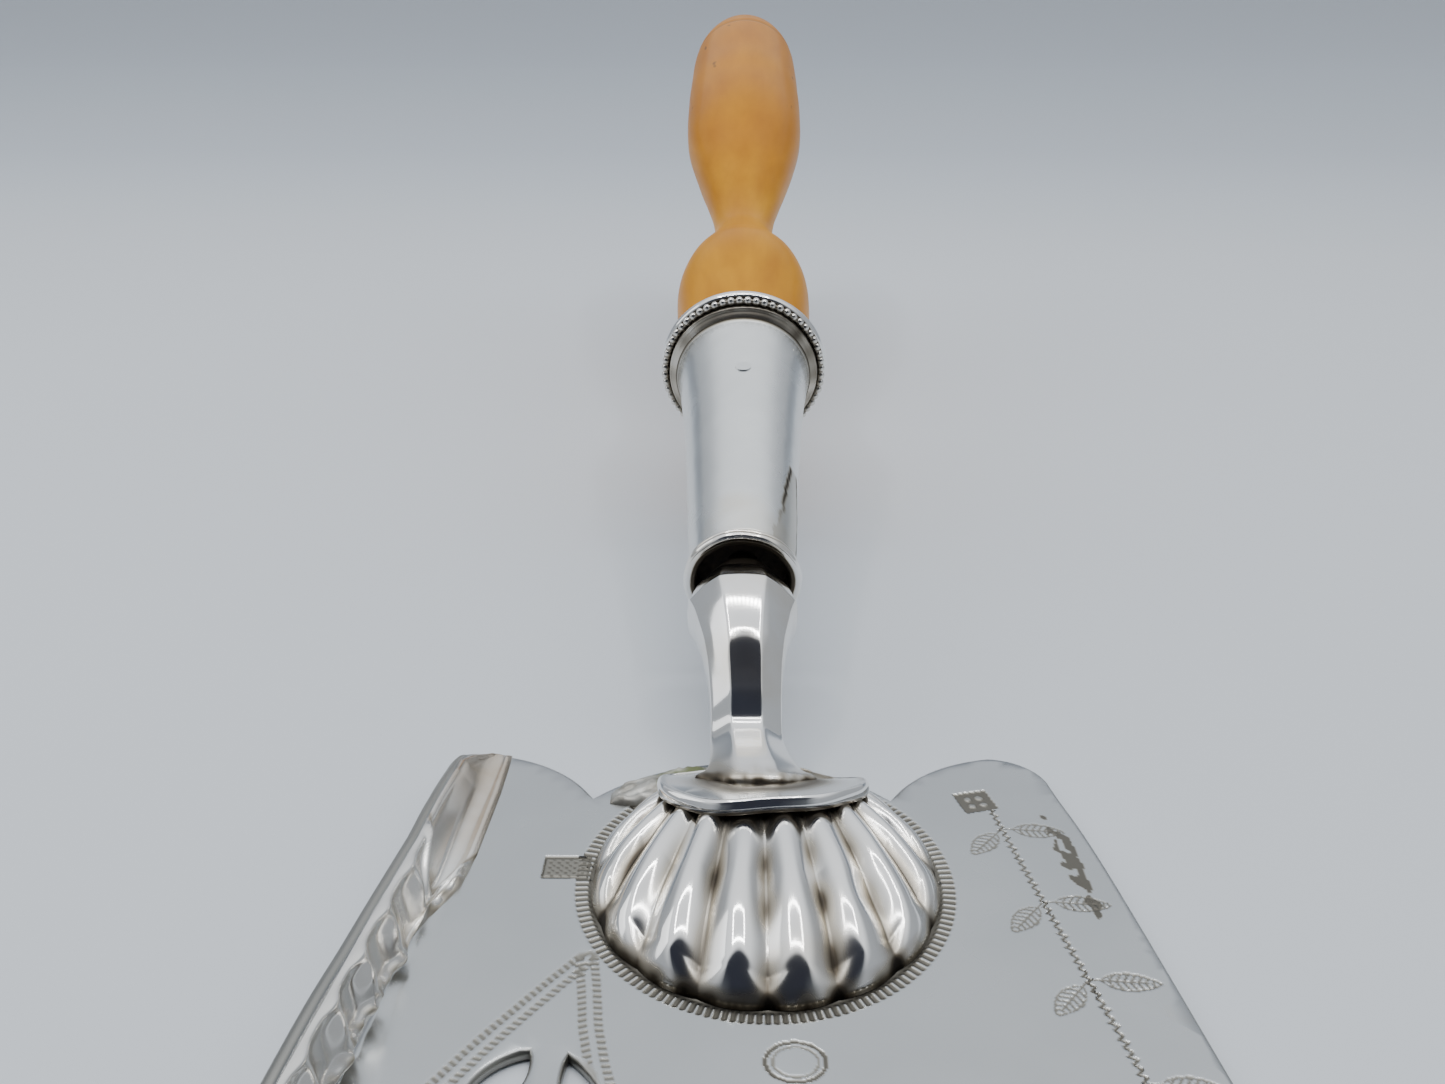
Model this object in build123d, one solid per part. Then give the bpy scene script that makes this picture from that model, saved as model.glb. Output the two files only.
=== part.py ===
"""Antique silver serving slice with a raised fluted side and a turned wooden grip, in millimetres.

Frame: the blade lies flat, its underside on z = 0. +Z is up, +Y runs along the blade towards the grip.
The origin is on the underside, in the vertical plane of the handle, level with the middle of the shell boss.
"""
import os
from math import atan2, cos, hypot, pi, radians, sin, sqrt, tan

from build123d import *

# ---- blade ----
BLADE_T = 1.0            # thickness of the silver sheet
HEEL_LOBE = 17.2         # y of the middle heel lobe
SHOULDER = (21.7, 18.2)  # highest point of each heel shoulder
CUSP = (12.5, 11.4)      # notch between the middle lobe and a shoulder
EDGE_X = 28.8            # x of the plain side edge at y = 0
FOLD_X = 22.5            # distance of the fold of the raised side at y = 0
FLARE = 0.113            # growth of both sides for each mm towards the tip
WALL_END = -84.0         # y where the raised side starts to die away
TIP_Y = -108.0           # y of the middle of the front edge

# ---- raised side: y, outward run and rise of its rim above the fold ----
WALL_STATIONS = (
    (17.4, 0.7, 0.5),
    (16.0, 3.4, 2.0),
    (13.7, 4.1, 2.8),
    (11.7, 3.9, 3.2),
    (-28.0, 2.1, 6.5),
    (WALL_END, 2.1, 6.5),
    (-93.0, 0.9, 1.6),
)
WALL_T = 0.9             # thickness of the raised side
BORDER_T = 0.6           # thickness of the border strip soldered inside it
BORDER_LOW = 0.42        # fraction of the wall height where the strip starts
RIB_PITCH = 5.0
RIB_R = 1.0
TROUGH_END = -5.0        # y where the smooth heel trough stops and the ribs start

# ---- pierced leaf ----
LEAF_START = (-10.9, -8.9)
LEAF_BEND = (-19.0, -48.0)
LEAF_TIP = (3.0, -97.0)
SLOT_PAIRS = 8
SLOT_FIRST = 0.12        # fractions of the midrib where the first and last pair branch off
SLOT_LAST = 0.9
SLOT_GAP = 1.3           # half width of the solid midrib
SLOT_W = 2.8
SLOT_SIDES = ((-1, 9.5), (1, 15.0))   # side of the midrib and its longest slot

# ---- shell boss ----
SHELL_X = 1.8            # the boss sits a little to one side of the handle
SHELL_R = 13.3           # half width
SHELL_LONG = 1.09        # length over width
SHELL_H = 5.2            # height above the blade
SHELL_T = 0.8
SHELL_HUB_Y = 6.0        # where the grooves meet
GROOVES = 12
GROOVE_R = 0.55
GROOVE_START = 4.0       # distance of each groove's start from the hub

# ---- foot collar and heel plate ----
COLLAR_RX = 8.5
COLLAR_RY = 6.8
COLLAR_T = 1.0
COLLAR_C = (1.5, 6.6, 5.3)
COLLAR_TILT = 18.0       # degrees, falling towards the heel
HEEL_PLATE_T = 0.9
HEEL_PLATE_INSET = 0.8

# ---- handle axis: it starts inside the foot and rises away from the blade ----
RISE = 13.7              # degrees
AXIS_START = (0.0, 8.1, 4.5)
LIP_S = 26.4             # stations along the axis
FERRULE_START = 27.9
FERRULE_END = 66.4
BEAD_S = 67.9
BAND_S = 68.6
BAND_LEN = 1.2
GRIP_S = 69.8
GRIP_LEN = 131.6

STEM_SECTIONS = ((6.7, 3.1), (9.5, 3.0), (12.5, 3.4), (16.0, 4.05), (20.2, 4.9), (23.6, 4.4))
STEM_END_S = 26.2
STEM_END_APOTHEM = 3.0
SOCKET_DEPTH = 8.0

FERRULE_PROFILE = (
    (FERRULE_START, 5.2), (36.0, 5.6), (46.0, 6.05), (55.0, 6.6), (60.0, 6.95), (64.0, 7.25), (FERRULE_END, 7.45),
)
FERRULE_T = 0.7
LIP_R = 5.75
PIN_S = 57.0
PIN_R = 0.9
PIN_LEN = 4.0
PIN_FOOT = 2.8           # distance of the pin's inner end from the axis
BEAD_RING_R = 9.35
BEAD_R = 0.5
NOTCH_W = 0.22
BEADS = 60
BAND_R = 9.9
RING_BORE = 6.6          # bore of the cup ring and the back band
NECK_R = 6.5             # grip neck inside them

TANG_R = 1.6
TANG_END = 140.0
TENON_S = 50.0
FILLER_S = 29.5
TENON_GAP = 0.05
# stations from the start of the grip, and radii
GRIP_PROFILE = (
    (0.0, 7.9), (9.0, 8.25), (17.0, 8.5), (22.5, 7.8), (27.0, 6.35), (32.5, 4.75), (37.5, 4.1), (43.5, 4.5),
    (50.0, 5.55), (59.0, 7.1), (72.5, 9.05), (87.0, 9.55), (101.0, 9.4), (112.5, 9.05), (121.0, 7.4),
    (127.5, 4.7),
)


def axis_location(s=0.0):
    """Location on the handle axis, its Z along the axis and its X across the blade."""
    a = radians(RISE)
    plane = Plane(origin=AXIS_START, x_dir=(1, 0, 0), z_dir=(0, cos(a), sin(a)))
    return plane.location * Location((0, 0, s))


def ring(r_out, r_in, start, length):
    """Plain tube between two stations, in axis coordinates."""
    tube = Cylinder(r_out, length, align=(Align.CENTER, Align.CENTER, Align.MIN))
    hole = Cylinder(r_in, length, align=(Align.CENTER, Align.CENTER, Align.MIN))
    return Location((0, 0, start)) * (tube - hole)


def fold_x(y):
    return -(FOLD_X - FLARE * y)


def wall_at(y):
    """Outward run and rise of the rim at y, straight between the stations."""
    for (y1, run1, rise1), (y2, run2, rise2) in zip(WALL_STATIONS, WALL_STATIONS[1:]):
        if y1 >= y >= y2:
            t = (y1 - y) / (y1 - y2)
            return run1 + t * (run2 - run1), rise1 + t * (rise2 - rise1)
    return WALL_STATIONS[-1][1:]


def wall_frame(y):
    """Fold point, rim point and the inward normal of the raised side, all in the XZ plane at y."""
    run, rise = wall_at(y)
    length = hypot(run, rise)
    fold = (fold_x(y), BLADE_T)
    rim = (fold[0] - run, BLADE_T + rise)
    return fold, rim, (rise / length, run / length)


def face_at(y, points):
    """Closed face in the plane at y from (x, z) points."""
    return make_face(Polyline([Vector(x, y, z) for x, z in points], close=True))


def lens(start, end, width):
    """Pointed oval from start to end, flat on z = 0."""
    mid = ((start[0] + end[0]) / 2, (start[1] + end[1]) / 2)
    dx, dy = end[0] - start[0], end[1] - start[1]
    length = hypot(dx, dy)
    off = (-dy / length * width / 2, dx / length * width / 2)
    one = ThreePointArc(start, (mid[0] + off[0], mid[1] + off[1]), end)
    two = ThreePointArc(end, (mid[0] - off[0], mid[1] - off[1]), start)
    return make_face(Curve() + [one, two])


def leaf_point(t):
    """Point on the curved midrib of the pierced leaf, t from 0 to 1."""
    u = 1 - t
    return tuple(u * u * a + 2 * u * t * b + t * t * c for a, b, c in zip(LEAF_START, LEAF_BEND, LEAF_TIP))


def leaf_direction(t):
    a = leaf_point(t - 0.01)
    b = leaf_point(t + 0.01)
    return atan2(b[1] - a[1], b[0] - a[0])


def pierced_slots():
    """Two rows of pointed slots that branch off the midrib."""
    slots = []
    for i in range(SLOT_PAIRS):
        f = i / (SLOT_PAIRS - 1)
        x, y = leaf_point(SLOT_FIRST + (SLOT_LAST - SLOT_FIRST) * f)
        along = leaf_direction(SLOT_FIRST + (SLOT_LAST - SLOT_FIRST) * f)
        spread = radians(24 + 16 * f)
        for side, longest in SLOT_SIDES:
            length = longest * (0.55 + 0.45 * sin(pi * min(1.0, 0.12 + 0.9 * f)))
            gap = along + side * pi / 2
            start = (x + SLOT_GAP * cos(gap), y + SLOT_GAP * sin(gap))
            heading = along + side * spread
            end = (start[0] + length * cos(heading), start[1] + length * sin(heading))
            slots.append(lens(start, end, SLOT_W))
    return slots


def plate_outline():
    """Outline of the flat part, its left side on the fold line."""
    shoulder = SHOULDER
    corner = (26.4, 13.6)
    front_right = (EDGE_X - FLARE * WALL_END, WALL_END)
    front_left = (fold_x(WALL_END), WALL_END)
    heel_left = (fold_x(16.4), 16.4)
    right_lobe = ThreePointArc(CUSP, (16.6, 16.1), shoulder)
    right_corner = ThreePointArc(shoulder, (24.9, 16.8), corner)
    right_side = Spline(corner, (EDGE_X, 0), (EDGE_X - FLARE * -40, -40), front_right)
    right_turn = ThreePointArc(front_right, (35.0, -97.0), (24.0, -104.0))
    front = ThreePointArc((24.0, -104.0), (0.0, TIP_Y), (-22.0, -104.0))
    left_turn = ThreePointArc((-22.0, -104.0), (-29.8, -97.5), front_left)
    fold = Line(front_left, heel_left)
    left_lobe = ThreePointArc(heel_left, (-15.7, 14.9), (-CUSP[0], CUSP[1]))
    middle_lobe = ThreePointArc((-CUSP[0], CUSP[1]), (0, HEEL_LOBE), CUSP)
    return make_face(Curve() + [right_lobe, right_corner, right_side, right_turn, front, left_turn, fold,
                                left_lobe, middle_lobe])


def raised_side():
    """Side wall bent up from the fold, as thick slabs between its stations."""
    sections = []
    for y, _, _ in WALL_STATIONS:
        fold, rim, (nx, nz) = wall_frame(y)
        outer_rim = (rim[0] - WALL_T * nx, rim[1] - WALL_T * nz)
        outer_fold = (fold[0] - WALL_T * nx, fold[1] - WALL_T * nz)
        sections.append(face_at(y, [(fold[0] + 0.2, 0), (fold[0] + 0.2, BLADE_T), rim, outer_rim, outer_fold]))
    return loft(sections, ruled=True)


def blade():
    plate = extrude(plate_outline(), BLADE_T, dir=(0, 0, 1))
    for slot in pierced_slots():
        plate -= extrude(slot, 3 * BLADE_T, both=True)
    return plate + raised_side()


def border_section(y, low):
    """Strip section on the inside of the raised side from the fraction low up to the rim."""
    fold, rim, (nx, nz) = wall_frame(y)
    start = (fold[0] + low * (rim[0] - fold[0]), fold[1] + low * (rim[1] - fold[1]))
    inner_rim = (rim[0] + BORDER_T * nx, rim[1] + BORDER_T * nz)
    inner_start = (start[0] + BORDER_T * nx, start[1] + BORDER_T * nz)
    return face_at(y, [start, rim, inner_rim, inner_start])


def trough_section(y):
    """Smooth cove that fills the angle between the plate and the raised side at the heel."""
    fold, rim, (nx, nz) = wall_frame(y)
    inner_rim = (rim[0] + BORDER_T * nx, rim[1] + BORDER_T * nz)
    middle = ((fold[0] + rim[0]) / 2 + 0.5 * nx, (fold[1] + rim[1]) / 2 + 0.5 * nz)
    foot = (fold[0] + 1.2, BLADE_T)
    toe = (foot[0] - 0.3, BLADE_T + 0.4)
    return face_at(y, [fold, rim, inner_rim, middle, toe, foot])


def side_border():
    """Heel trough, strip and the row of ribs, one stamped piece."""
    trough = loft([trough_section(y) for y in (13.7, 11.7, TROUGH_END)], ruled=True)
    strip_y = (TROUGH_END, -28.0, WALL_END)
    border = trough + loft([border_section(y, BORDER_LOW) for y in strip_y], ruled=True)
    count = int((TROUGH_END - WALL_END) / RIB_PITCH)
    for i in range(count):
        y = TROUGH_END - RIB_PITCH * (i + 0.6)
        fold, rim, (nx, nz) = wall_frame(y)
        low = Vector(fold[0] + 0.5 * (rim[0] - fold[0]), y, fold[1] + 0.5 * (rim[1] - fold[1]))
        high = Vector(fold[0] + 0.93 * (rim[0] - fold[0]), y, fold[1] + 0.93 * (rim[1] - fold[1]))
        lift = Vector(nx, 0, nz) * BORDER_T
        start = low + lift
        rib = Cylinder(RIB_R, (high - low).length, align=(Align.CENTER, Align.CENTER, Align.MIN))
        border += Plane(origin=start, z_dir=high - low).location * rib
    return border - raised_side()


def round_cap(radius, height):
    """Cap of a sphere standing on z = 0."""
    sphere_r = (radius * radius + height * height) / (2 * height)
    ball = Location((0, 0, height - sphere_r)) * Sphere(sphere_r)
    return ball & Box(4 * radius, 4 * radius, 2 * height, align=(Align.CENTER, Align.CENTER, Align.MIN))


def place_shell(shape):
    """Stretch a round shape along the blade and set it on the blade at the boss."""
    return Location((SHELL_X, 0, BLADE_T)) * scale(shape, by=(1, SHELL_LONG, 1))


def shell_dome():
    return place_shell(round_cap(SHELL_R, SHELL_H))


def shell_boss():
    """Hollow scallop: a thin cap with grooves that fan out from a hub near the heel."""
    cap = round_cap(SHELL_R, SHELL_H) - round_cap(SHELL_R - SHELL_T, SHELL_H - SHELL_T)
    sphere_r = (SHELL_R ** 2 + SHELL_H ** 2) / (2 * SHELL_H)
    hub_y = SHELL_HUB_Y / SHELL_LONG
    for i in range(GROOVES):
        angle = radians(-90 + (i - (GROOVES - 1) / 2) * 22)
        away = Vector(cos(angle), sin(angle), 0)
        across = Vector(-away.Y, away.X, 0)
        offset = hub_y * across.Y
        groove_major = sqrt(sphere_r ** 2 - offset ** 2)
        middle = across * offset + Vector(0, 0, SHELL_H - sphere_r + GROOVE_R * 0.4)
        circle = Plane(origin=middle, z_dir=across).location * Torus(groove_major, GROOVE_R)
        ahead = Plane(origin=Vector(0, hub_y, 0) + away * GROOVE_START, z_dir=away).location
        keep = ahead * Box(30, 30, 30, align=(Align.CENTER, Align.CENTER, Align.MIN))
        cap -= circle & keep
    return place_shell(cap)


def collar_location():
    a = radians(COLLAR_TILT)
    return Plane(origin=COLLAR_C, x_dir=(1, 0, 0), z_dir=(0, sin(a), cos(a))).location


def foot_collar():
    """Thin oval collar between the shell and the stem, dished to sit on the dome."""
    oval = extrude(Ellipse(COLLAR_RX, COLLAR_RY), COLLAR_T / 2, both=True)
    oval = fillet(oval.edges(), COLLAR_T * 0.3)
    return collar_location() * oval - shell_dome()


def heel_plate():
    """Crescent plate that backs the middle heel lobe behind the shell."""
    cusp_x = CUSP[0] - HEEL_PLATE_INSET - 0.6
    cusp_y = CUSP[1] - 0.5
    back = ThreePointArc((-cusp_x, cusp_y), (0, HEEL_LOBE - HEEL_PLATE_INSET), (cusp_x, cusp_y))
    front = Line((cusp_x, cusp_y), (-cusp_x, cusp_y))
    plate = extrude(make_face(Curve() + [back, front]), HEEL_PLATE_T, dir=(0, 0, 1))
    return Location((0, 0, BLADE_T)) * plate - shell_dome()


def octagon(place, apothem_x, apothem_y):
    """Eight-sided face with flats on its X and Y sides."""
    k = tan(radians(22.5))
    ax, ay = apothem_x, apothem_y
    corners = [(ax, k * ay), (k * ax, ay), (-k * ax, ay), (-ax, k * ay),
               (-ax, -k * ay), (-k * ax, -ay), (k * ax, -ay), (ax, -k * ay)]
    return place * make_face(Polyline(corners, close=True))


def stem_place(x, y, z, elevation):
    a = radians(elevation)
    return Plane(origin=(x, y, z), x_dir=(1, 0, 0), z_dir=(0, cos(a), sin(a))).location


def stem():
    """Waisted eight-sided baluster that springs from the collar and bends into the handle axis."""
    foot_z = COLLAR_C[2] - (9.2 - COLLAR_C[1]) * tan(radians(COLLAR_TILT)) + COLLAR_T / 2 - 0.1
    faces = [octagon(stem_place(1.1, 9.2, foot_z, 90 - COLLAR_TILT), 4.8, 3.2),
             octagon(stem_place(0.8, 10.6, 6.3, 40), 3.7, 3.2)]
    for s, apothem in STEM_SECTIONS:
        faces.append(octagon(axis_location(s), apothem, apothem))
    faces.append(octagon(axis_location(STEM_END_S), STEM_END_APOTHEM, STEM_END_APOTHEM))
    body = loft(faces)
    socket = Cylinder(TANG_R, SOCKET_DEPTH + 1, align=(Align.CENTER, Align.CENTER, Align.MIN))
    body -= axis_location(STEM_END_S - SOCKET_DEPTH) * socket
    return body - foot_collar() - shell_dome() - heel_plate()


def tang():
    """Iron rod from the socket in the stem far into the grip."""
    start = STEM_END_S - SOCKET_DEPTH
    rod = Cylinder(TANG_R, TANG_END - start, align=(Align.CENTER, Align.CENTER, Align.MIN))
    return axis_location(start) * rod


def ferrule_curve(shrink):
    return Spline([(r - shrink, 0, s) for s, r in FERRULE_PROFILE])


def ferrule():
    """Tapered tube that opens into a shallow cup under the bead ring."""
    outer = ferrule_curve(0)
    inner = ferrule_curve(FERRULE_T)
    front = Line(inner @ 0, outer @ 0)
    back = Line(outer @ 1, inner @ 1)
    tube = revolve(make_face(Curve() + [outer, back, inner, front]), Axis.Z)
    drill = Cylinder(PIN_R, 2 * BAND_R, align=(Align.CENTER, Align.CENTER, Align.MIN))
    return axis_location() * (tube - Location((0, 0, PIN_S)) * Rotation(90, 0, 0) * drill)


def ferrule_bore(start, end, gap):
    """Solid that fits inside the ferrule between two stations, less a small gap."""
    inner = ferrule_curve(FERRULE_T + gap)
    front, back = (0, 0, FERRULE_START), (0, 0, FERRULE_END)
    closed = Curve() + [inner, Line(inner @ 1, back), Line(back, front), Line(front, inner @ 0)]
    core = revolve(make_face(closed), Axis.Z)
    keep = Cylinder(BAND_R, end - start, align=(Align.CENTER, Align.CENTER, Align.MIN))
    return core & (Location((0, 0, start)) * keep)


def ferrule_filler():
    """Dark cement plug that holds the tang in the front of the ferrule."""
    plug = ferrule_bore(FILLER_S, TENON_S, TENON_GAP)
    tang_hole = Cylinder(TANG_R, 2 * GRIP_S, align=(Align.CENTER, Align.CENTER, Align.MIN))
    return axis_location() * (plug - tang_hole)


def ferrule_lip():
    """Rolled band round the front mouth of the ferrule."""
    band = ring(LIP_R, FERRULE_PROFILE[0][1] - FERRULE_T, LIP_S, FERRULE_START - LIP_S)
    return axis_location() * fillet(band.edges().filter_by(GeomType.CIRCLE), 0.2)


def bead_ring():
    """Beaded wire: a ring notched between its beads down to a thin core."""
    wire = ring(BEAD_RING_R + BEAD_R, BEAD_RING_R - BEAD_R, -BEAD_R, 2 * BEAD_R)
    reach = 2 * BEAD_R
    notch = Box(reach, NOTCH_W, 4 * BEAD_R, align=(Align.MIN, Align.CENTER, Align.CENTER))
    notches = []
    for i in range(BEADS):
        turn = Rotation(0, 0, 360 / BEADS * (i + 0.5))
        notches.append(turn * Location((BEAD_RING_R + 0.1, 0, 0)) * notch)
    return axis_location(BEAD_S) * (wire - notches)


def cup_ring():
    """Dished washer that closes the cup and carries the bead wire."""
    washer = ring(BEAD_RING_R - BEAD_R, RING_BORE, FERRULE_END, BAND_S - FERRULE_END)
    return axis_location() * washer


def back_band():
    """Smooth band behind the beads, against the grip."""
    band = ring(BAND_R, RING_BORE, BAND_S, BAND_LEN)
    return axis_location() * fillet(band.edges().filter_by(GeomType.CIRCLE).group_by(SortBy.RADIUS)[-1], 0.35)


def ferrule_pin():
    """Short cross pin through the ferrule into the tenon."""
    pin = Cylinder(PIN_R, PIN_LEN, align=(Align.CENTER, Align.CENTER, Align.MIN))
    return axis_location(PIN_S) * Rotation(90, 0, 0) * Location((0, 0, PIN_FOOT)) * pin


def grip():
    """Turned grip with a bulb, a neck and a long swell, bored for the tang, and its tenon."""
    points = [(r, 0, s) for s, r in GRIP_PROFILE]
    top = (0, 0, GRIP_LEN)
    curve = Spline(points + [top], tangents=((0.3, 0, 1), (-1, 0, 0)))
    closed = Curve() + [curve, Line(top, (0, 0, 0)), Line((0, 0, 0), points[0])]
    body = Location((0, 0, GRIP_S)) * revolve(make_face(closed), Axis.Z)
    tenon = ferrule_bore(TENON_S, FERRULE_END, TENON_GAP)
    neck = Cylinder(NECK_R, GRIP_S - FERRULE_END + 4, align=(Align.CENTER, Align.CENTER, Align.MIN))
    tenon = tenon & Cylinder(NECK_R, 3 * FERRULE_END)
    body += tenon + Location((0, 0, FERRULE_END - 2)) * neck
    body -= Location((0, 0, TENON_S - 1)) * Cylinder(TANG_R, TANG_END - TENON_S + 1,
                                                     align=(Align.CENTER, Align.CENTER, Align.MIN))
    return axis_location() * body - ferrule_pin()


PARTS = {
    "blade": blade,
    "side_border": side_border,
    "heel_plate": heel_plate,
    "shell_boss": shell_boss,
    "foot_collar": foot_collar,
    "stem": stem,
    "tang": tang,
    "ferrule": ferrule,
    "ferrule_lip": ferrule_lip,
    "ferrule_filler": ferrule_filler,
    "ferrule_pin": ferrule_pin,
    "cup_ring": cup_ring,
    "bead_ring": bead_ring,
    "back_band": back_band,
    "grip": grip,
}

os.makedirs("parts", exist_ok=True)
for name, make in PARTS.items():
    export_step(make(), f"parts/{name}.step")
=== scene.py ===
"""Looks of the antique silver serving slice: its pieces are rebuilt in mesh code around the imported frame.

Lengths inside the geometry functions are millimetres in the row's frame; new_piece() turns them into metres.
+Y runs along the blade towards the grip, -X is the raised side, and the blade's underside is z = 0.
"""
import random
from math import atan2, cos, degrees, exp, hypot, pi, radians, sin, tan

import bmesh
import bpy
import numpy as np
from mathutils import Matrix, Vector
from mathutils.geometry import delaunay_2d_cdt


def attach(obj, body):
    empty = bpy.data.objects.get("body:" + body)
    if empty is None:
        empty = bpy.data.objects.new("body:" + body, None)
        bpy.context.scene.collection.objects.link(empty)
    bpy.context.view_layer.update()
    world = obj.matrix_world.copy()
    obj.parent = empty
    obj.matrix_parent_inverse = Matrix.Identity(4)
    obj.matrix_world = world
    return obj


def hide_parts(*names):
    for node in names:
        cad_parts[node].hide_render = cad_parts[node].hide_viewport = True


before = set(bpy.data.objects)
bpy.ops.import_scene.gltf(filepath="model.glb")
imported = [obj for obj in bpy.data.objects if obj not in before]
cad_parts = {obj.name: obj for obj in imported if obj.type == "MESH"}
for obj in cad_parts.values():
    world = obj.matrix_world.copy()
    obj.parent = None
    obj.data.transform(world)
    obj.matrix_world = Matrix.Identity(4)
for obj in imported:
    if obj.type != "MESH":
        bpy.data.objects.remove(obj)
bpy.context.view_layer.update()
MM = 0.001
random.seed(7)
rng = np.random.default_rng(7)

# ---- camera: place and lens of the reference view ----
IMAGE_W = 1445
FOCAL_PIXELS = 1400
CAMERA_AT = (-0.2, -89.2, 66.0)
CAMERA_PITCH = 22.5
CAMERA_YAW = -0.8

# ---- blade ----
BLADE_T = 1.0
HEEL_LOBE = 17.2
SHOULDER = (21.7, 18.2)
CUSP = (12.5, 11.4)
EDGE_X = 28.8
FOLD_X = 22.5
FLARE = 0.113
WALL_END = -84.0
TIP_Y = -108.0
EDGE_ROUND = 0.32
# y, angle of the raised side and radius of its fold
BEND_STATIONS = ((19.0, 40.0, 4.0), (13.7, 48.0, 3.5), (11.7, 55.0, 3.0), (6.0, 65.0, 2.6), (0.0, 70.0, 2.0),
                 (-13.0, 75.0, 1.6), (-28.0, 80.0, 1.2), (WALL_END, 80.0, 1.2), (-93.0, 50.0, 2.6),
                 (-104.0, 8.0, 6.0), (-112.0, 0.0, 6.0))
# y and distance from the fold to the rim, along the sheet
RIM_STATIONS = ((18.2, 0.7), (17.4, 2.6), (16.6, 3.4), (15.4, 4.3), (13.7, 5.0), (6.0, 5.7), (0.0, 5.95),
                (-13.0, 6.65), (-28.3, 7.3), (-78.0, 7.3), (WALL_END, 6.2))

# ---- side border ----
BORDER_START = 17.9
TROUGH_END = -3.6
RIB_PITCH = 5.1
LEDGE = 2.3

# ---- pierced leaf ----
LEAF_START = (-10.9, -8.9)
LEAF_BEND = (-19.0, -48.0)
LEAF_TIP = (3.0, -97.0)
SLOT_PAIRS = 8
SLOT_FIRST = 0.12
SLOT_LAST = 0.9
SLOT_GAP = 1.3
SLOT_W = 2.8
SLOT_REACH = 12
SLOT_SIDES = ((-1, 9.5), (1, 15.0))

# ---- middles of the struck marks ----
RECTANGLE_MARK = (-13.6, 1.5)
LOZENGE_MARK = (19.6, 11.2)
OVAL_MARK = (3.5, -19.1)

# ---- shell ----
SHELL_X = 1.8
SHELL_RX = 13.3
SHELL_RY = 14.5
SHELL_H = 5.4
HUB = (1.7, 6.4)
HUB_RX = 7.2
HUB_RY = 4.6
BORDER_RX = 14.0
BORDER_RY = 15.2

# ---- collar ----
COLLAR_RX = 8.5
COLLAR_RY = 6.3
COLLAR_C = (1.5, 6.6, 5.0)
COLLAR_TILT = 22.0

# ---- handle axis ----
RISE = radians(13.7)
AXIS_START = np.array((0.0, 8.1, 4.5))
# s along the axis, half width, half height, height of the section's middle over the axis
STEM_SECTIONS = ((6.7, 3.15, 2.7, -2.7), (9.5, 3.1, 3.1, -1.45), (12.5, 3.3, 3.3, 0.15),
                 (14.0, 3.5, 3.5, 0.69), (15.5, 3.75, 3.75, 0.97), (17.5, 4.2, 4.2, 1.0),
                 (19.0, 4.55, 4.55, 0.9), (20.4, 4.98, 4.98, 0.62))
STEM_CHAMFER_S = 23.7
STEM_CHAMFER_R = 4.35
STEM_NECK_R = 3.1
STEM_END_S = 26.2
LIP_S = 26.4
FERRULE_PROFILE = ((27.9, 5.2), (36.0, 5.6), (46.0, 6.05), (55.0, 6.6), (60.0, 7.05), (63.6, 7.45),
                   (65.4, 7.7), (66.0, 7.82), (66.4, 8.0))
FERRULE_T = 0.7
BEAD_S = 67.9
BEAD_RING_R = 9.35
BEADS = 60
GRIP_S = 69.8
GRIP_PROFILE = ((0.0, 7.9), (9.0, 8.25), (17.0, 8.5), (22.5, 7.8), (27.0, 6.35), (32.5, 4.75), (37.5, 4.1),
                (43.5, 4.5), (50.0, 5.55), (59.0, 7.1), (72.5, 9.05), (87.0, 9.55), (101.0, 9.4),
                (112.5, 9.05), (121.0, 7.4), (127.5, 4.7), (130.6, 2.2), (131.6, 0.0))


# ---- mesh helpers ----

def place(name, data):
    """New object in the scene."""
    made = bpy.data.objects.new(name, data)
    bpy.context.scene.collection.objects.link(made)
    return made


def new_piece(name, verts, faces, material, node, shade=None):
    """Mesh object from millimetre vertices, riding on the root body in place of its CAD node."""
    mesh = bpy.data.meshes.new(name)
    mesh.from_pydata([tuple(v) for v in np.asarray(verts, float) * MM], [], [tuple(f) for f in faces])
    mesh.update()
    work = bmesh.new()
    work.from_mesh(mesh)
    bmesh.ops.recalc_face_normals(work, faces=work.faces)
    work.to_mesh(mesh)
    work.free()
    mesh.shade_smooth()
    # vertex layer of tarnish and dirt together with painted shade and painted dark reflections
    if shade is not None:
        layer = mesh.attributes.new("grime_and_shade", "FLOAT", "POINT")
        layer.data.foreach_set("value", np.ravel(shade).astype(np.float32))
    piece = place(name, mesh)
    mesh.materials.append(material)
    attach(piece, "root")
    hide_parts(node)
    return piece


def grid_faces(rows, cols, wrap):
    """Quads of a grid of rows x cols vertices, wrapping round the columns if asked."""
    faces = []
    last = cols if wrap else cols - 1
    for i in range(rows - 1):
        for j in range(last):
            k = (j + 1) % cols
            faces.append((i * cols + j, i * cols + k, (i + 1) * cols + k, (i + 1) * cols + j))
    return faces


def smooth_path(points, per_span):
    """Catmull-Rom curve through points of any dimension."""
    p = np.asarray(points, float)
    ends = np.vstack([2 * p[0] - p[1], p, 2 * p[-1] - p[-2]])
    out = []
    for i in range(1, len(ends) - 2):
        a, b, c, d = ends[i - 1], ends[i], ends[i + 1], ends[i + 2]
        for t in np.linspace(0, 1, per_span, endpoint=False):
            out.append(0.5 * (2 * b + (c - a) * t + (2 * a - 5 * b + 4 * c - d) * t * t
                              + (3 * b - a - 3 * c + d) * t ** 3))
    out.append(ends[-2])
    return np.array(out)


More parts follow.
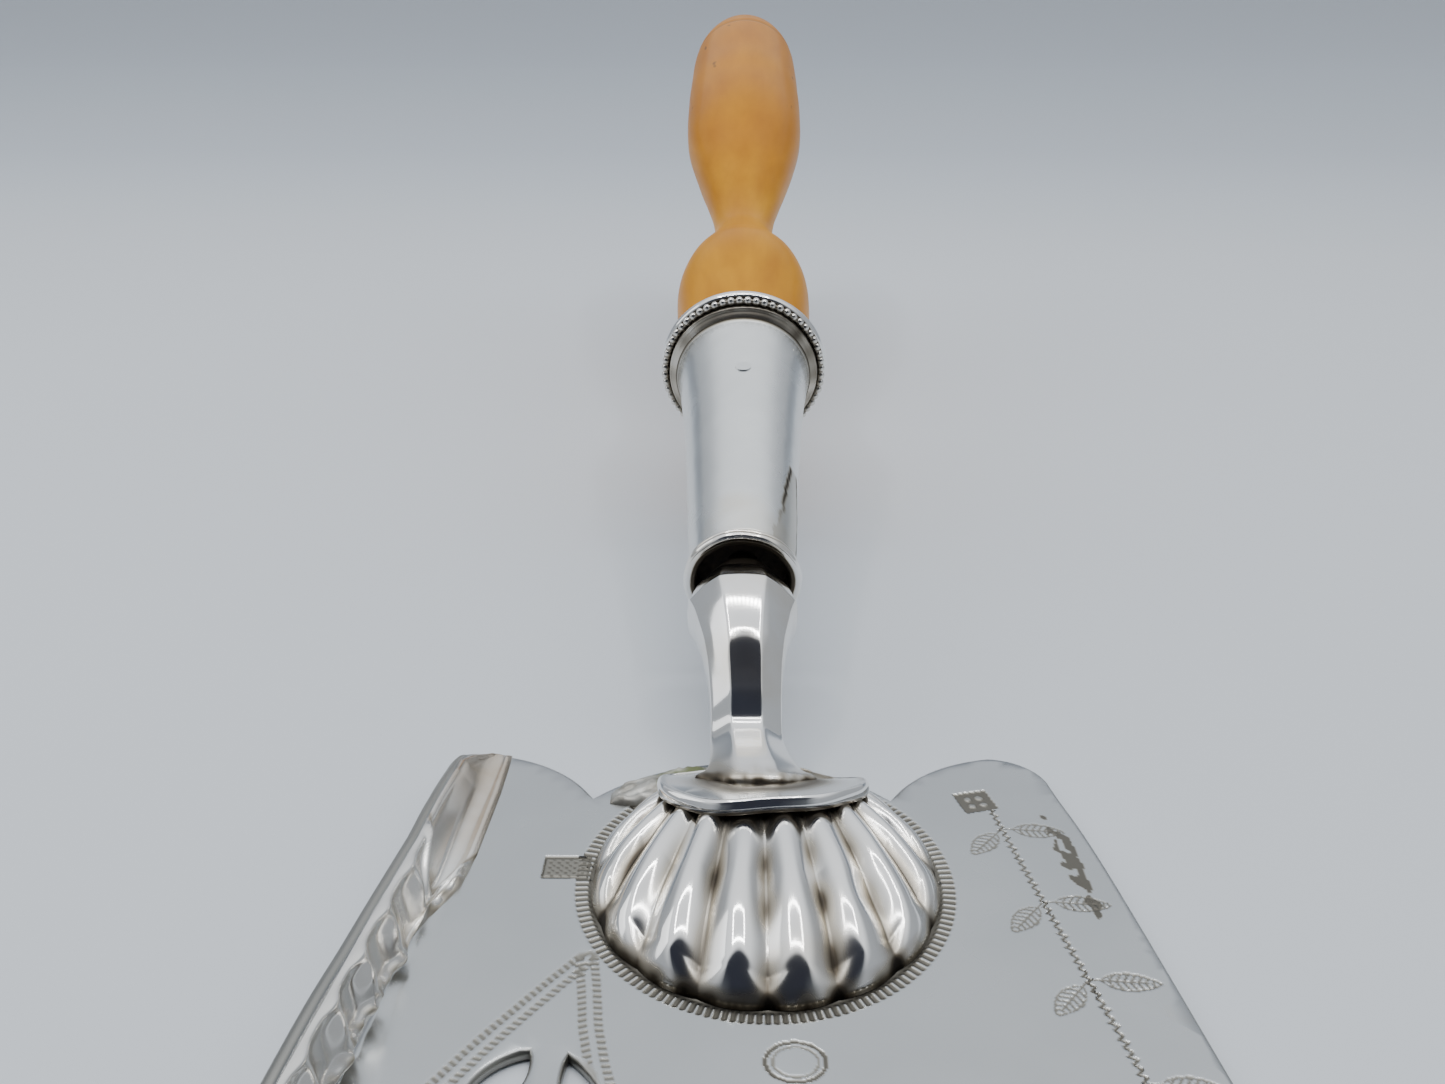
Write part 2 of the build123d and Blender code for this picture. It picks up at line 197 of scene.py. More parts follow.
def arc3(a, b, c, count):
    """Points on the circle arc from a through b to c, without its last point."""
    a, b, c = (np.array(p, float) for p in (a, b, c))
    m = np.array([b - a, c - a])
    rhs = np.array([((b - a) @ (b + a)) / 2, ((c - a) @ (c + a)) / 2])
    centre = np.linalg.solve(m, rhs)
    r = np.linalg.norm(a - centre)
    t0, t1, t2 = (atan2(*(p - centre)[::-1]) for p in (a, b, c))
    sweep = (t2 - t0) % (2 * pi)
    if (t1 - t0) % (2 * pi) > sweep:
        sweep -= 2 * pi
    t = t0 + sweep * np.linspace(0, 1, count, endpoint=False)
    return np.stack([centre[0] + r * np.cos(t), centre[1] + r * np.sin(t)], -1)


def axis_points(s, across, up):
    """Points on the handle: s along the axis, across along +X, up away from the table."""
    n = np.array((0, cos(RISE), sin(RISE)))
    u = np.array((0, -sin(RISE), cos(RISE)))
    x = np.array((1.0, 0, 0))
    s, across, up = (np.asarray(v, float)[..., None] for v in (s, across, up))
    return AXIS_START + s * n + across * x + up * u


def lathe(profile, segments, wobble=None, closed=True):
    """Verts and quads of an (s, r) profile turned round the handle axis, with each vertex's s and angle."""
    p = np.asarray(profile, float)
    s = np.repeat(p[:, 0][:, None], segments, 1)
    r = np.repeat(p[:, 1][:, None], segments, 1)
    a = np.broadcast_to(np.linspace(0, 2 * pi, segments, endpoint=False), s.shape)
    if wobble is not None:
        r = r + wobble(s, a)
    verts = axis_points(s, r * np.cos(a), r * np.sin(a)).reshape(-1, 3)
    faces = (ring_faces if closed else tube_faces)(len(p), segments)
    return verts, faces, s, a


def ring_faces(rows, cols):
    """Wrapped grid whose last row joins back to its first one."""
    last = (rows - 1) * cols
    ends = [(last + j, last + (j + 1) % cols, (j + 1) % cols, j) for j in range(cols)]
    return grid_faces(rows, cols, True) + ends


def tube_faces(rows, cols):
    """Wrapped grid with a flat face over its first and last rows."""
    ends = [tuple(range(cols))[::-1], tuple(range((rows - 1) * cols, rows * cols))]
    return grid_faces(rows, cols, True) + ends


def slab_faces(rows, cols):
    """Closed slab: a top grid, the same grid below it and the wall between their rims."""
    top = grid_faces(rows, cols, False)
    count = rows * cols
    rim = list(range(cols)) + [i * cols + cols - 1 for i in range(1, rows)]
    rim += [(rows - 1) * cols + j for j in range(cols - 2, -1, -1)]
    rim += [i * cols for i in range(rows - 2, 0, -1)]
    walls = [(a, b, b + count, a + count) for a, b in zip(rim, rim[1:] + rim[:1])]
    return top + [tuple(i + count for i in f[::-1]) for f in top] + walls


def bell(x, middle, width):
    """Smooth bump of height 1 around the middle."""
    return np.exp(-((x - middle) / width) ** 2)


def pairs(x, y):
    """Rows of (x, y) from two grids."""
    return np.stack([x, y], -1).reshape(-1, 2)


def noise2(x, y, scale, seed):
    """Cheap smooth noise from a few seeded sine waves, about -1 to 1."""
    draw = np.random.default_rng(seed)
    total = np.zeros_like(np.asarray(x, float))
    for _ in range(6):
        angle = draw.uniform(0, 2 * pi)
        k = draw.uniform(0.6, 1.7) * 2 * pi / scale
        phase = draw.uniform(0, 2 * pi)
        total += np.sin(k * (np.cos(angle) * x + np.sin(angle) * y) + phase)
    return total / 3.2


# ---- materials ----

class Tree:
    """Short makers for the nodes of one material or world."""

    def __init__(self, owner):
        owner.use_nodes = True
        self.nodes, self.links = owner.node_tree.nodes, owner.node_tree.links

    def put(self, node, values):
        """Sets inputs of a node, each to a link, a colour or a plain value."""
        for key, value in values.items():
            socket = node.inputs[key]
            if isinstance(value, bpy.types.NodeSocket):
                self.links.new(value, socket)
            elif socket.type == "RGBA":
                socket.default_value = (*value, 1)
            else:
                socket.default_value = value
        return node

    def node(self, kind, values, **settings):
        """New node with its settings and inputs."""
        node = self.nodes.new("ShaderNode" + kind)
        for name, value in settings.items():
            setattr(node, name, value)
        return self.put(node, values)

    def shade(self, values):
        self.put(self.nodes["Principled BSDF"], values)

    def coordinate(self, space):
        return self.node("TexCoord", {}).outputs[space]

    def axes(self, space):
        return self.node("SeparateXYZ", {0: self.coordinate(space)}).outputs

    def noise(self, scale, detail, stretch=(1, 1, 1), turn=(0, 0, 0)):
        """Noise in object space, stretched and turned."""
        spot = {"Vector": self.coordinate("Object"), "Scale": stretch, "Rotation": turn}
        vector = self.node("Mapping", spot).outputs[0]
        return self.node("TexNoise", {"Vector": vector, "Scale": scale, "Detail": detail}).outputs["Fac"]

    def ramp(self, source, *stops):
        """Colour ramp from (position, colour) stops."""
        node = self.node("ValToRGB", {"Fac": source})
        elements = node.color_ramp.elements
        while len(elements) < len(stops):
            elements.new(0.5)
        for element, (position, colour) in zip(elements, stops):
            element.position = position
            element.color = (*colour, 1)
        return node.outputs["Color"]

    def remap(self, source, low, high, out_low=0.0, out_high=1.0):
        limits = {"From Min": low, "From Max": high, "To Min": out_low, "To Max": out_high}
        return self.node("MapRange", {"Value": source, **limits}).outputs["Result"]

    def mix(self, factor, first, second, blend="MIX"):
        values = {0: factor, 6: first, 7: second}
        return self.node("Mix", values, data_type="RGBA", blend_type=blend).outputs[2]

    def math(self, kind, *values):
        return self.node("Math", dict(enumerate(values)), operation=kind).outputs[0]

    def grime_and_shade(self):
        """Dirt, tarnish and painted shade stored on the vertices, 0 to 1."""
        return self.node("Attribute", {}, attribute_name="grime_and_shade").outputs["Fac"]

    def bump(self, height, strength, distance):
        values = {"Height": height, "Strength": strength, "Distance": distance}
        return self.node("Bump", values).outputs["Normal"]


def new_material(name):
    material = bpy.data.materials.new(name)
    return material, Tree(material)


def silver(name, clean, rough, scratch, tarnish, patch):
    """Silver with scratches, cloudy roughness, tarnish patches, and darkening from the vertex layer: tarnish
    and dirt in hollows, and painted shade.
    """
    material, tree = new_material(name)
    cloud = tree.noise(90, 5)
    patches = tree.noise(42, 6)
    lines_a = tree.noise(520, 3, (1, 0.05, 0.4), (0, 0, 0.5))
    lines_b = tree.noise(700, 3, (0.06, 1, 0.4), (0, 0, -0.35))
    tint = tree.ramp(cloud, (0.3, tuple(c * 0.93 for c in clean)), (0.7, clean))
    warm = tree.mix(tree.remap(patches, *patch), tint, tarnish)
    # the vertex layer darkens the colour towards near black, alike for tarnish, dirt and painted shade
    hollow = tree.math("MULTIPLY", tree.grime_and_shade(), tree.math("MULTIPLY_ADD", patches, 0.5, 0.72))
    dirt_and_shade = tree.ramp(hollow, (0.0, (1, 1, 1)), (0.35, (0.56, 0.52, 0.45)), (0.75, (0.13, 0.11, 0.085)),
                     (1.0, (0.03, 0.026, 0.022)))
    roughness = tree.math("MULTIPLY_ADD", hollow, 0.5, tree.remap(cloud, 0.3, 0.7, *rough))
    scratches = tree.bump(tree.math("ADD", lines_a, lines_b), scratch, 0.00004)
    tree.shade({"Metallic": 1.0, "Base Color": tree.mix(1.0, warm, dirt_and_shade, "MULTIPLY"), "Roughness": roughness,
                "Normal": scratches})
    return material


def boxwood():
    """Amber polished boxwood: long faint grain, dark flecks and soft clouds."""
    material, tree = new_material("boxwood")
    lean = (-RISE, 0, 0)
    grain = tree.noise(260, 6, (1, 0.045, 1), lean)
    cloud = tree.noise(34, 3, (1, 0.35, 1), lean)
    fleck = tree.noise(330, 2, (1, 0.3, 1), lean)
    base = tree.ramp(cloud, (0.3, (0.53, 0.17, 0.001)), (0.5, (0.66, 0.25, 0.001)),
                     (0.72, (0.75, 0.33, 0.003)))
    grained = tree.mix(tree.remap(grain, 0.35, 0.68, 0.0, 0.55), base, (0.46, 0.15, 0.002))
    spotted = tree.mix(tree.remap(fleck, 0.73, 0.78, 0.0, 0.85), grained, (0.08, 0.03, 0.006))
    tree.shade({"Base Color": tree.mix(tree.grime_and_shade(), spotted, (0.13, 0.05, 0.01)),
                "Roughness": tree.remap(cloud, 0.3, 0.7, 0.26, 0.40), "Specular IOR Level": 0.06,
                "Coat Weight": 0.1, "Coat Roughness": 0.07, "Normal": tree.bump(grain, 0.25, 0.0001)})
    return material


def rough_earth(name, dark, light, scale, roughness, metallic):
    """Dull lumpy stuff: cement or rusty iron."""
    material, tree = new_material(name)
    lumps = tree.noise(scale, 7)
    tree.shade({"Base Color": tree.ramp(lumps, (0.3, dark), (0.7, light)), "Roughness": roughness,
                "Metallic": metallic, "Normal": tree.bump(lumps, 0.6, 0.0003)})
    return material


def solder():
    """Grey rough solder with green verdigris and brown soiling."""
    material, tree = new_material("old_solder")
    lumps = tree.noise(520, 8)
    green = tree.remap(tree.noise(210, 3), 0.56, 0.63, 0.0, 0.85)
    metal = tree.ramp(lumps, (0.3, (0.16, 0.14, 0.11)), (0.6, (0.52, 0.51, 0.47)))
    tree.shade({"Base Color": tree.mix(green, metal, (0.13, 0.16, 0.05)),
                "Metallic": tree.remap(green, 0.0, 0.85, 0.85, 0.1),
                "Roughness": tree.remap(lumps, 0.3, 0.7, 0.6, 0.38), "Normal": tree.bump(lumps, 0.7, 0.0002)})
    return material


# ---- blade ----

def fold_x(y):
    return -(FOLD_X - FLARE * y)


def bend_at(y):
    """Angle of the raised side in radians and the radius of its fold, at y."""
    ys = [-s[0] for s in BEND_STATIONS]
    angle = np.interp(-y, ys, [radians(s[1]) for s in BEND_STATIONS])
    radius = np.interp(-y, ys, [s[2] for s in BEND_STATIONS])
    return angle, radius


def bend(x, y, h):
    """Flat blank point (x, y) at height h above the underside, bent up beyond the fold."""
    x, y, h = (np.asarray(v, float) for v in np.broadcast_arrays(x, y, h))
    angle, radius = bend_at(y)
    d = np.maximum(0.0, fold_x(y) - x)
    turned = np.minimum(d / radius, angle)
    straight = np.maximum(0.0, d - radius * angle)
    side = radius * np.sin(turned) + straight * np.cos(angle)
    rise = radius * (1 - np.cos(turned)) + straight * np.sin(angle)
    px = np.where(d > 0, fold_x(y) - side, x) + h * np.sin(turned)
    pz = rise + h * np.cos(turned)
    return np.stack([px, y, pz], -1)


def side_edge(y):
    return EDGE_X - FLARE * y


def blank_outline():
    """Outline of the flat sheet before its left side is bent up, as one anticlockwise loop."""
    corner = (26.4, 13.6)
    front = (side_edge(WALL_END), WALL_END)
    right = smooth_path([corner, (EDGE_X - 0.15, 0), (side_edge(-40) - 0.1, -40), front], 24)
    rim_y = np.array([s[0] for s in RIM_STATIONS])
    rim_x = fold_x(rim_y) - np.array([s[1] for s in RIM_STATIONS])
    left = smooth_path([(-SHOULDER[0], SHOULDER[1])] + list(zip(rim_x, rim_y))[1:], 9)
    pieces = [
        arc3((-24.0, -104.0), (0.0, TIP_Y), (24.0, -104.0), 60),
        arc3((24.0, -104.0), (35.0, -97.0), front, 26),
        right[::-1][:-1],
        arc3(corner, (24.9, 16.8), SHOULDER, 12),
        arc3(SHOULDER, (16.6, 16.1), CUSP, 18),
        arc3(CUSP, (0, HEEL_LOBE), (-CUSP[0], CUSP[1]), 40),
        arc3((-CUSP[0], CUSP[1]), (-16.6, 16.1), (-SHOULDER[0], SHOULDER[1]), 18),
        left[:-1],
        arc3(left[-1], (-34.6, -97.3), (-24.0, -104.0), 26),
    ]
    return np.vstack(pieces)


def leaf_point(t):
    t = np.asarray(t, float)[..., None]
    a, b, c = (np.array(p) for p in (LEAF_START, LEAF_BEND, LEAF_TIP))
    return (1 - t) ** 2 * a + 2 * (1 - t) * t * b + t * t * c


def leaf_heading(t):
    step = leaf_point(t + 0.01) - leaf_point(t - 0.01)
    return atan2(step[1], step[0])


def pierced_slots():
    """Start, end and width of each pointed slot along the midrib."""
    slots = []
    for i in range(SLOT_PAIRS):
        f = i / (SLOT_PAIRS - 1)
        t = SLOT_FIRST + (SLOT_LAST - SLOT_FIRST) * f
        x, y = leaf_point(t)
        along = leaf_heading(t)
        spread = radians(24 + 16 * f)
        for side, longest in SLOT_SIDES:
            length = longest * (0.55 + 0.45 * sin(pi * min(1.0, 0.12 + 0.9 * f)))
            gap = along + side * pi / 2
            start = np.array((x + SLOT_GAP * cos(gap), y + SLOT_GAP * sin(gap)))
            heading = along + side * spread
            slots.append((start, start + length * np.array((cos(heading), sin(heading))), SLOT_W))
    return slots


def lens_loop(start, end, width, count=14):
    """Pointed oval as an anticlockwise loop."""
    mid = (start + end) / 2
    along = (end - start) / np.linalg.norm(end - start)
    off = np.array((-along[1], along[0])) * width / 2
    return np.vstack([arc3(start, mid - off, end, count), arc3(end, mid + off, start, count)])


def inset(loop, amount):
    """Loop moved to its left by amount, the inside of an anticlockwise loop."""
    before = np.roll(loop, 1, 0)
    after = np.roll(loop, -1, 0)
    tangent = (after - before) / np.linalg.norm(after - before, axis=1)[:, None]
    return loop + amount * np.stack([-tangent[:, 1], tangent[:, 0]], -1)


def inside(loop, points):
    """Even-odd test of points against a loop."""
    x, y = points[:, 0][:, None], points[:, 1][:, None]
    x1, y1 = loop[:, 0], loop[:, 1]
    x2, y2 = np.roll(x1, -1), np.roll(y1, -1)
    crosses = (y1 > y) != (y2 > y)
    at = x1 + (y - y1) * (x2 - x1) / np.where(y2 == y1, 1e-9, y2 - y1)
    return (crosses & (x < at)).sum(1) % 2 == 1


def border_offset(x, y):
    """Signed distance outside the engraved ring's centre line and the angle round the shell."""
    angle = np.arctan2(y / BORDER_RY, (x - SHELL_X) / BORDER_RX)
    rho = np.hypot((x - SHELL_X) / BORDER_RX, y / BORDER_RY)
    local = np.hypot(BORDER_RX * np.cos(angle), BORDER_RY * np.sin(angle))
    return (rho - 1) * local, angle


def nearest_on(path, x, y):
    """Distance along a polyline and signed offset from it, for arrays of points close to it."""
    seg = np.diff(path, axis=0)
    start = run_along(path)
    best = np.full(np.shape(x), 1e9)
    along = np.zeros(np.shape(x))
    offset = np.full(np.shape(x), 1e9)
    for (x0, y0), (dx, dy), s0 in zip(path, seg, start):
        size = hypot(dx, dy)
        t = np.clip(((x - x0) * dx + (y - y0) * dy) / size ** 2, 0, 1)
        gap = np.hypot(x - x0 - t * dx, y - y0 - t * dy)
        sign = np.sign(dx * (y - y0) - dy * (x - x0))
        closer = gap < best
        best = np.where(closer, gap, best)
        along = np.where(closer, s0 + t * size, along)
        offset = np.where(closer, gap * sign, offset)
    return along, offset


# middles of the two hatched bands round the leaf, and of the spray's stem
BAND_LEFT = smooth_path([(-10.9, -9.2), (-14.0, -13.6), (-17.9, -19.7), (-21.0, -26.0), (-22.6, -36.0),
                         (-23.0, -50.0), (-20.5, -66.0), (-13.0, -84.0), (2.0, -100.0)], 8)
BAND_RIGHT = smooth_path([(-10.9, -9.2), (-10.4, -12.5), (-9.7, -17.3), (-8.0, -23.0), (-3.5, -31.0),
                          (3.5, -42.0), (8.5, -56.0), (9.5, -72.0), (7.0, -88.0), (2.0, -100.0)], 8)
SPRAY = smooth_path([(20.7, 10.0), (22.4, -1.0), (24.0, -11.0), (25.5, -20.7), (28.6, -45.0), (30.8, -66.0),
                     (31.3, -80.0), (26.5, -94.0)], 8)
SPRAY_PITCH = 8.9


def run_along(path):
    """Distance along a polyline at each of its points."""
    steps = np.linalg.norm(np.diff(path, axis=0), axis=1)
    return np.concatenate([[0], np.cumsum(steps)])


def spray_leaves():
    """Start, end and width of the engraved leaves on both sides of the spray's stem."""
    run = run_along(SPRAY)
    leaves = []
    s = 2.6
    while s < run[-1] - 3:
        i = int(np.searchsorted(run, s))
        here = SPRAY[i]
        heading = atan2(*(SPRAY[min(i + 2, len(SPRAY) - 1)] - SPRAY[i - 1])[::-1])
        for side, turn, size in ((1, 76, 4.1), (-1, 48, 3.7)):
            angle = heading + side * radians(turn)
            root = here + 0.9 * np.array((cos(angle), sin(angle)))
            leaves.append((root, root + size * np.array((cos(angle), sin(angle))), 1.75))
        s += SPRAY_PITCH
    return leaves


def cut_depth(x, y, leaves):
    """Depth of the engraving at points of the blade, in millimetres."""
    depth = np.zeros_like(x)
    off, angle = border_offset(x, y)
    cuts = 0.5 + 0.5 * np.cos(angle * 152)
    carve(depth, abs(off) < 0.5, 0.115 * cuts ** 0.9)
    carve(depth, abs(off + 0.8) < 0.2, 0.13)

    for path, lean in ((BAND_LEFT, 0.25), (BAND_RIGHT, -0.2)):
        low, high = path.min(0) - 2, path.max(0) + 2
        near = (x > low[0]) & (x < high[0]) & (y > low[1]) & (y < high[1])
        s, o = nearest_on(path, x[near], y[near])
        hatch = 0.5 + 0.5 * np.cos((s + lean * abs(o)) * 2 * pi / 0.56)
        value = np.where(abs(abs(o) - 0.5) < 0.34, 0.06 * hatch ** 0.8, 0)
        depth[near] = np.maximum(depth[near], value)

    s, o = nearest_on(SPRAY, x, y)
    wave = 0.2 * (2 / pi) * np.arcsin(np.sin(s * 2 * pi / 0.78))
    carve(depth, abs(o - wave) < 0.13, 0.085)

    for root, end, width in leaves:
        along = end - root
        size = np.linalg.norm(along)
        along = along / size
        u = ((x - root[0]) * along[0] + (y - root[1]) * along[1]) / size
        v = -(x - root[0]) * along[1] + (y - root[1]) * along[0]
        half = width / 2 * np.sin(np.clip(u, 0, 1) ** 0.85 * pi) ** 0.8
        body = (u > 0) & (u < 1) & (abs(v) < half)
        hatch = np.clip(1.4 * np.cos((u * size - 0.5 * abs(v)) * 2 * pi / 0.5) - 0.2, 0, 1)
        carve(depth, body, 0.055 * hatch)
        carve(depth, (u > 0) & (u < 1) & (abs(abs(v) - half) < 0.08), 0.045)
        carve(depth, (u > -0.2) & (u < 0.8) & (abs(v) < 0.07), 0.05)
    strike_marks(x, y, depth)
    return depth


def carve(depth, mask, amount):
    """Deepens the points of a mask to at least an amount."""
    np.maximum(depth, np.where(mask, amount, 0.0), out=depth)


def strike_marks(x, y, depth):
    """Adds the stippled rectangle, the lozenge with four pellets and the double oval."""
    box_x, box_y = x - RECTANGLE_MARK[0], y - RECTANGLE_MARK[1]
    carve(depth, (abs(box_x) < 1.75) & (abs(box_y) < 1.3), 0.045)
    walls = np.minimum(abs(abs(box_x) - 1.75), abs(abs(box_y) - 1.3)) < 0.11
    carve(depth, walls & (abs(box_x) < 1.86) & (abs(box_y) < 1.41), 0.13)
    dots = np.cos(box_x * 9.5) * np.cos(box_y * 9.5) > 0.35
    carve(depth, dots & (abs(box_x) < 1.5) & (abs(box_y) < 1.1), 0.075)

    lx, ly = x - LOZENGE_MARK[0], y - LOZENGE_MARK[1]
    turned_x, turned_y = lx * 0.966 + ly * 0.259, -lx * 0.259 + ly * 0.966
    carve(depth, (abs(turned_x) < 1.45) & (abs(turned_y) < 1.45), 0.115)
    pellets = np.hypot(abs(turned_x) - 0.5, abs(turned_y) - 0.5) < 0.3
    depth[pellets] = 0.03

    oval = np.hypot((x - OVAL_MARK[0]) / 1.95, (y - OVAL_MARK[1]) / 1.75)
    carve(depth, abs(oval - 1) < 0.07, 0.075)
    carve(depth, abs(oval - 0.76) < 0.05, 0.04)


def edge_stains(x, y):
    """Dark tarnish left in ragged patches along the plain side, near the heel."""
    inward = side_edge(y) - x
    along = np.exp(-((y - 2.0) / 7.5) ** 4)
    band = bell(inward, 2.6, 1.0) * along
    ragged = noise2(x, y, 3.1, 51) + 0.8 * noise2(x, y, 1.3, 52)
    return 0.62 * (band * (0.75 + 0.5 * ragged) > 0.55)


def fine_points(leaves):
    """Mesh points crowded where the sheet is engraved."""
    sets = []
    a = np.linspace(0, 2 * pi, 1090, endpoint=False)
    for off in np.arange(-1.3, 0.82, 0.14):
        sets.append(np.stack([SHELL_X + (BORDER_RX + off) * np.cos(a), (BORDER_RY + off) * np.sin(a)], -1))
    for path, reach, step in ((BAND_LEFT, 1.05, 0.15), (BAND_RIGHT, 1.05, 0.15), (SPRAY, 0.6, 0.12)):
        run = run_along(path)
        s = np.arange(0, run[-1], step)
        x = np.interp(s, run, path[:, 0])
        y = np.interp(s, run, path[:, 1])
        tx, ty = np.gradient(x), np.gradient(y)
        size = np.hypot(tx, ty)
        for off in np.arange(-reach, reach + 0.01, 0.15):
            sets.append(np.stack([x - ty / size * off, y + tx / size * off], -1))
    for root, end, _ in leaves:
        along = (end - root) / np.linalg.norm(end - root)
        reach = np.linalg.norm(end - root) + 0.5
        u, v = np.meshgrid(np.arange(-1.1, reach, 0.13), np.arange(-1.4, 1.45, 0.13))
        x, y = root[0] + u * along[0] - v * along[1], root[1] + u * along[1] + v * along[0]
        sets.append(pairs(x, y))
    u, v = np.meshgrid(np.arange(24.5, 28.6, 0.16), np.arange(-8.0, 11.0, 0.16))
    sets.append(pairs(u, v))
    for (cx, cy), half in ((RECTANGLE_MARK, 2.0), (LOZENGE_MARK, 2.1), (OVAL_MARK, 2.3)):
        u, v = np.meshgrid(np.arange(-half, half, 0.13), np.arange(-half, half, 0.13))
        sets.append(pairs(cx + u, cy + v))
    return np.vstack(sets)


def triangulate(loops, points):
    """Triangles of the region between an outer loop and its holes, through extra points."""
    verts = [Vector(p) for loop in loops for p in loop]
    faces = []
    start = 0
    for k, loop in enumerate(loops):
        ids = list(range(start, start + len(loop)))
        faces.append(ids if k == 0 else ids[::-1])
        start += len(loop)
    verts += [Vector(p) for p in points]
    edges = []
    for ids in faces:
        edges += [(ids[i], ids[(i + 1) % len(ids)]) for i in range(len(ids))]
    out_v, _, out_f, orig_v, _, _ = delaunay_2d_cdt(verts, edges, [], 0, 1e-5)
    coords = np.array([(v.x, v.y) for v in out_v])
    tris = np.array([f for f in out_f if len(f) == 3])
    centre = coords[tris].mean(1)
    keep = np.zeros(len(tris), bool)
    for first in range(0, len(centre), 20000):
        part = slice(first, first + 20000)
        ok = inside(np.asarray(loops[0]), centre[part])
        for hole in loops[1:]:
            near = ok & (abs(centre[part] - hole.mean(0)).max(1) < 20)
            hit = inside(np.asarray(hole), centre[part][near])
            index = np.flatnonzero(near)[hit]
            ok[index] = False
        keep[part] = ok
    owner = {}
    for new, olds in enumerate(orig_v):
        for old in olds:
            if old < start:
                owner[old] = new
    return coords, tris[keep], [owner[i] for i in range(start)]


def clear_of_edges(points, outline, slots, rim_gap, slot_gap):
    """Points inside the outline and outside the slots, with a gap to both."""
    ok = inside(inset(outline, rim_gap), points)
    for slot in slots:
        near = abs(points - slot.mean(0)).max(1) < SLOT_REACH
        ok[np.flatnonzero(near)[inside(inset(slot, -slot_gap), points[near])]] = False
    return points[ok]


def build_blade(material):
    """Whole sheet as one closed solid: engraved top, rounded edges, pierced slots, plain underside."""
    outline = blank_outline()
    slots = [lens_loop(a, b, w) for a, b, w in pierced_slots()]
    loops = [outline] + [s[::-1] for s in slots]
    heights = (BLADE_T, BLADE_T - 0.11, BLADE_T - EDGE_ROUND, 0.25, 0.0)
    insets = (EDGE_ROUND, 0.1, 0.0, 0.0, 0.22)

    leaves = spray_leaves()
    xs, ys = np.meshgrid(np.arange(-44, 44, 1.3), np.arange(-110, 20, 1.3))
    coarse = pairs(xs, ys) + rng.uniform(-0.1, 0.1, (xs.size, 2))
    fine = fine_points(leaves)
    points = clear_of_edges(np.vstack([coarse, fine]), outline, slots, EDGE_ROUND + 0.12, EDGE_ROUND + 0.15)

    top_loops = [inset(loop, EDGE_ROUND) for loop in loops]
    coords, tris, rim = triangulate(top_loops, points)
    depth = cut_depth(coords[:, 0], coords[:, 1], leaves)
    wave = 0.05 * noise2(coords[:, 0], coords[:, 1], 34.0, 5)
    verts = [bend(coords[:, 0], coords[:, 1], BLADE_T - depth + np.where(depth > 0, 0, wave * 0.4))]
    grime_and_shade = [np.maximum(np.clip(depth * 9.0, 0, 0.6), edge_stains(coords[:, 0], coords[:, 1]))]
    faces = [tuple(t) for t in tris]

    total = len(coords)
    previous = rim
    for k in range(1, len(heights)):
        ring = np.vstack([inset(loop, insets[k]) for loop in loops])
        verts.append(bend(ring[:, 0], ring[:, 1], heights[k]))
        grime_and_shade.append(np.full(len(ring), 0.3))
        current = list(range(total, total + len(ring)))
        begin = 0
        for loop in loops:
            n = len(loop)
            for i in range(n):
                a, b = begin + i, begin + (i + 1) % n
                faces.append((previous[a], current[a], current[b], previous[b]))
            begin += n
        previous = current
        total += len(ring)

    bottom_loops = [inset(loop, insets[-1]) for loop in loops]
    under_points = clear_of_edges(coarse, outline, slots, 0.9, 0.5)
    low_coords, low_tris, low_rim = triangulate(bottom_loops, under_points)
    remap_ids = np.arange(len(low_coords)) + total
    for i, new in enumerate(low_rim):
        remap_ids[new] = previous[i]
    verts.append(bend(low_coords[:, 0], low_coords[:, 1], 0.0))
    grime_and_shade.append(np.full(len(low_coords), 0.05))
    faces += [tuple(int(remap_ids[i]) for i in t[::-1]) for t in low_tris]

    return finish_sheet("blade_sheet", np.vstack(verts), faces, np.concatenate(grime_and_shade), material)


def finish_sheet(name, verts, faces, grime_and_shade, material):
    """Drops the vertices that no face uses and makes the piece."""
    used = np.zeros(len(verts), bool)
    for face in faces:
        used[list(face)] = True
    index = np.cumsum(used) - 1
    faces = [tuple(int(index[i]) for i in f) for f in faces]
    piece = new_piece(name, verts[used], faces, material, "blade", grime_and_shade[used])
    piece.data.set_sharp_from_angle(angle=radians(50))
    return piece


# ---- raised border ----

def ledge_at(y):
    """Distance from the fold to the lower edge of the strip: it leaves the fold where the trough ends."""
    return np.interp(-np.asarray(y, float), (5.0, 9.5, 16.0, 90.0), (0.1, 1.5, LEDGE, LEDGE))


def rim_distance(y):
    """Distance from the fold to the outer edge of the strip, just inside the rim."""
    ys = [-s[0] for s in RIM_STATIONS]
    return np.interp(-np.asarray(y, float), ys, [s[1] - 0.28 for s in RIM_STATIONS])


def trough_inner(y):
    """How far the heel trough's lip reaches over the flat plate."""
    ys = (-18.0, -16.0, -12.0, -3.0, 1.0, 5.0)
    return np.interp(-np.asarray(y, float), ys, (0.15, 0.4, 0.8, 1.35, 1.3, 0.1))


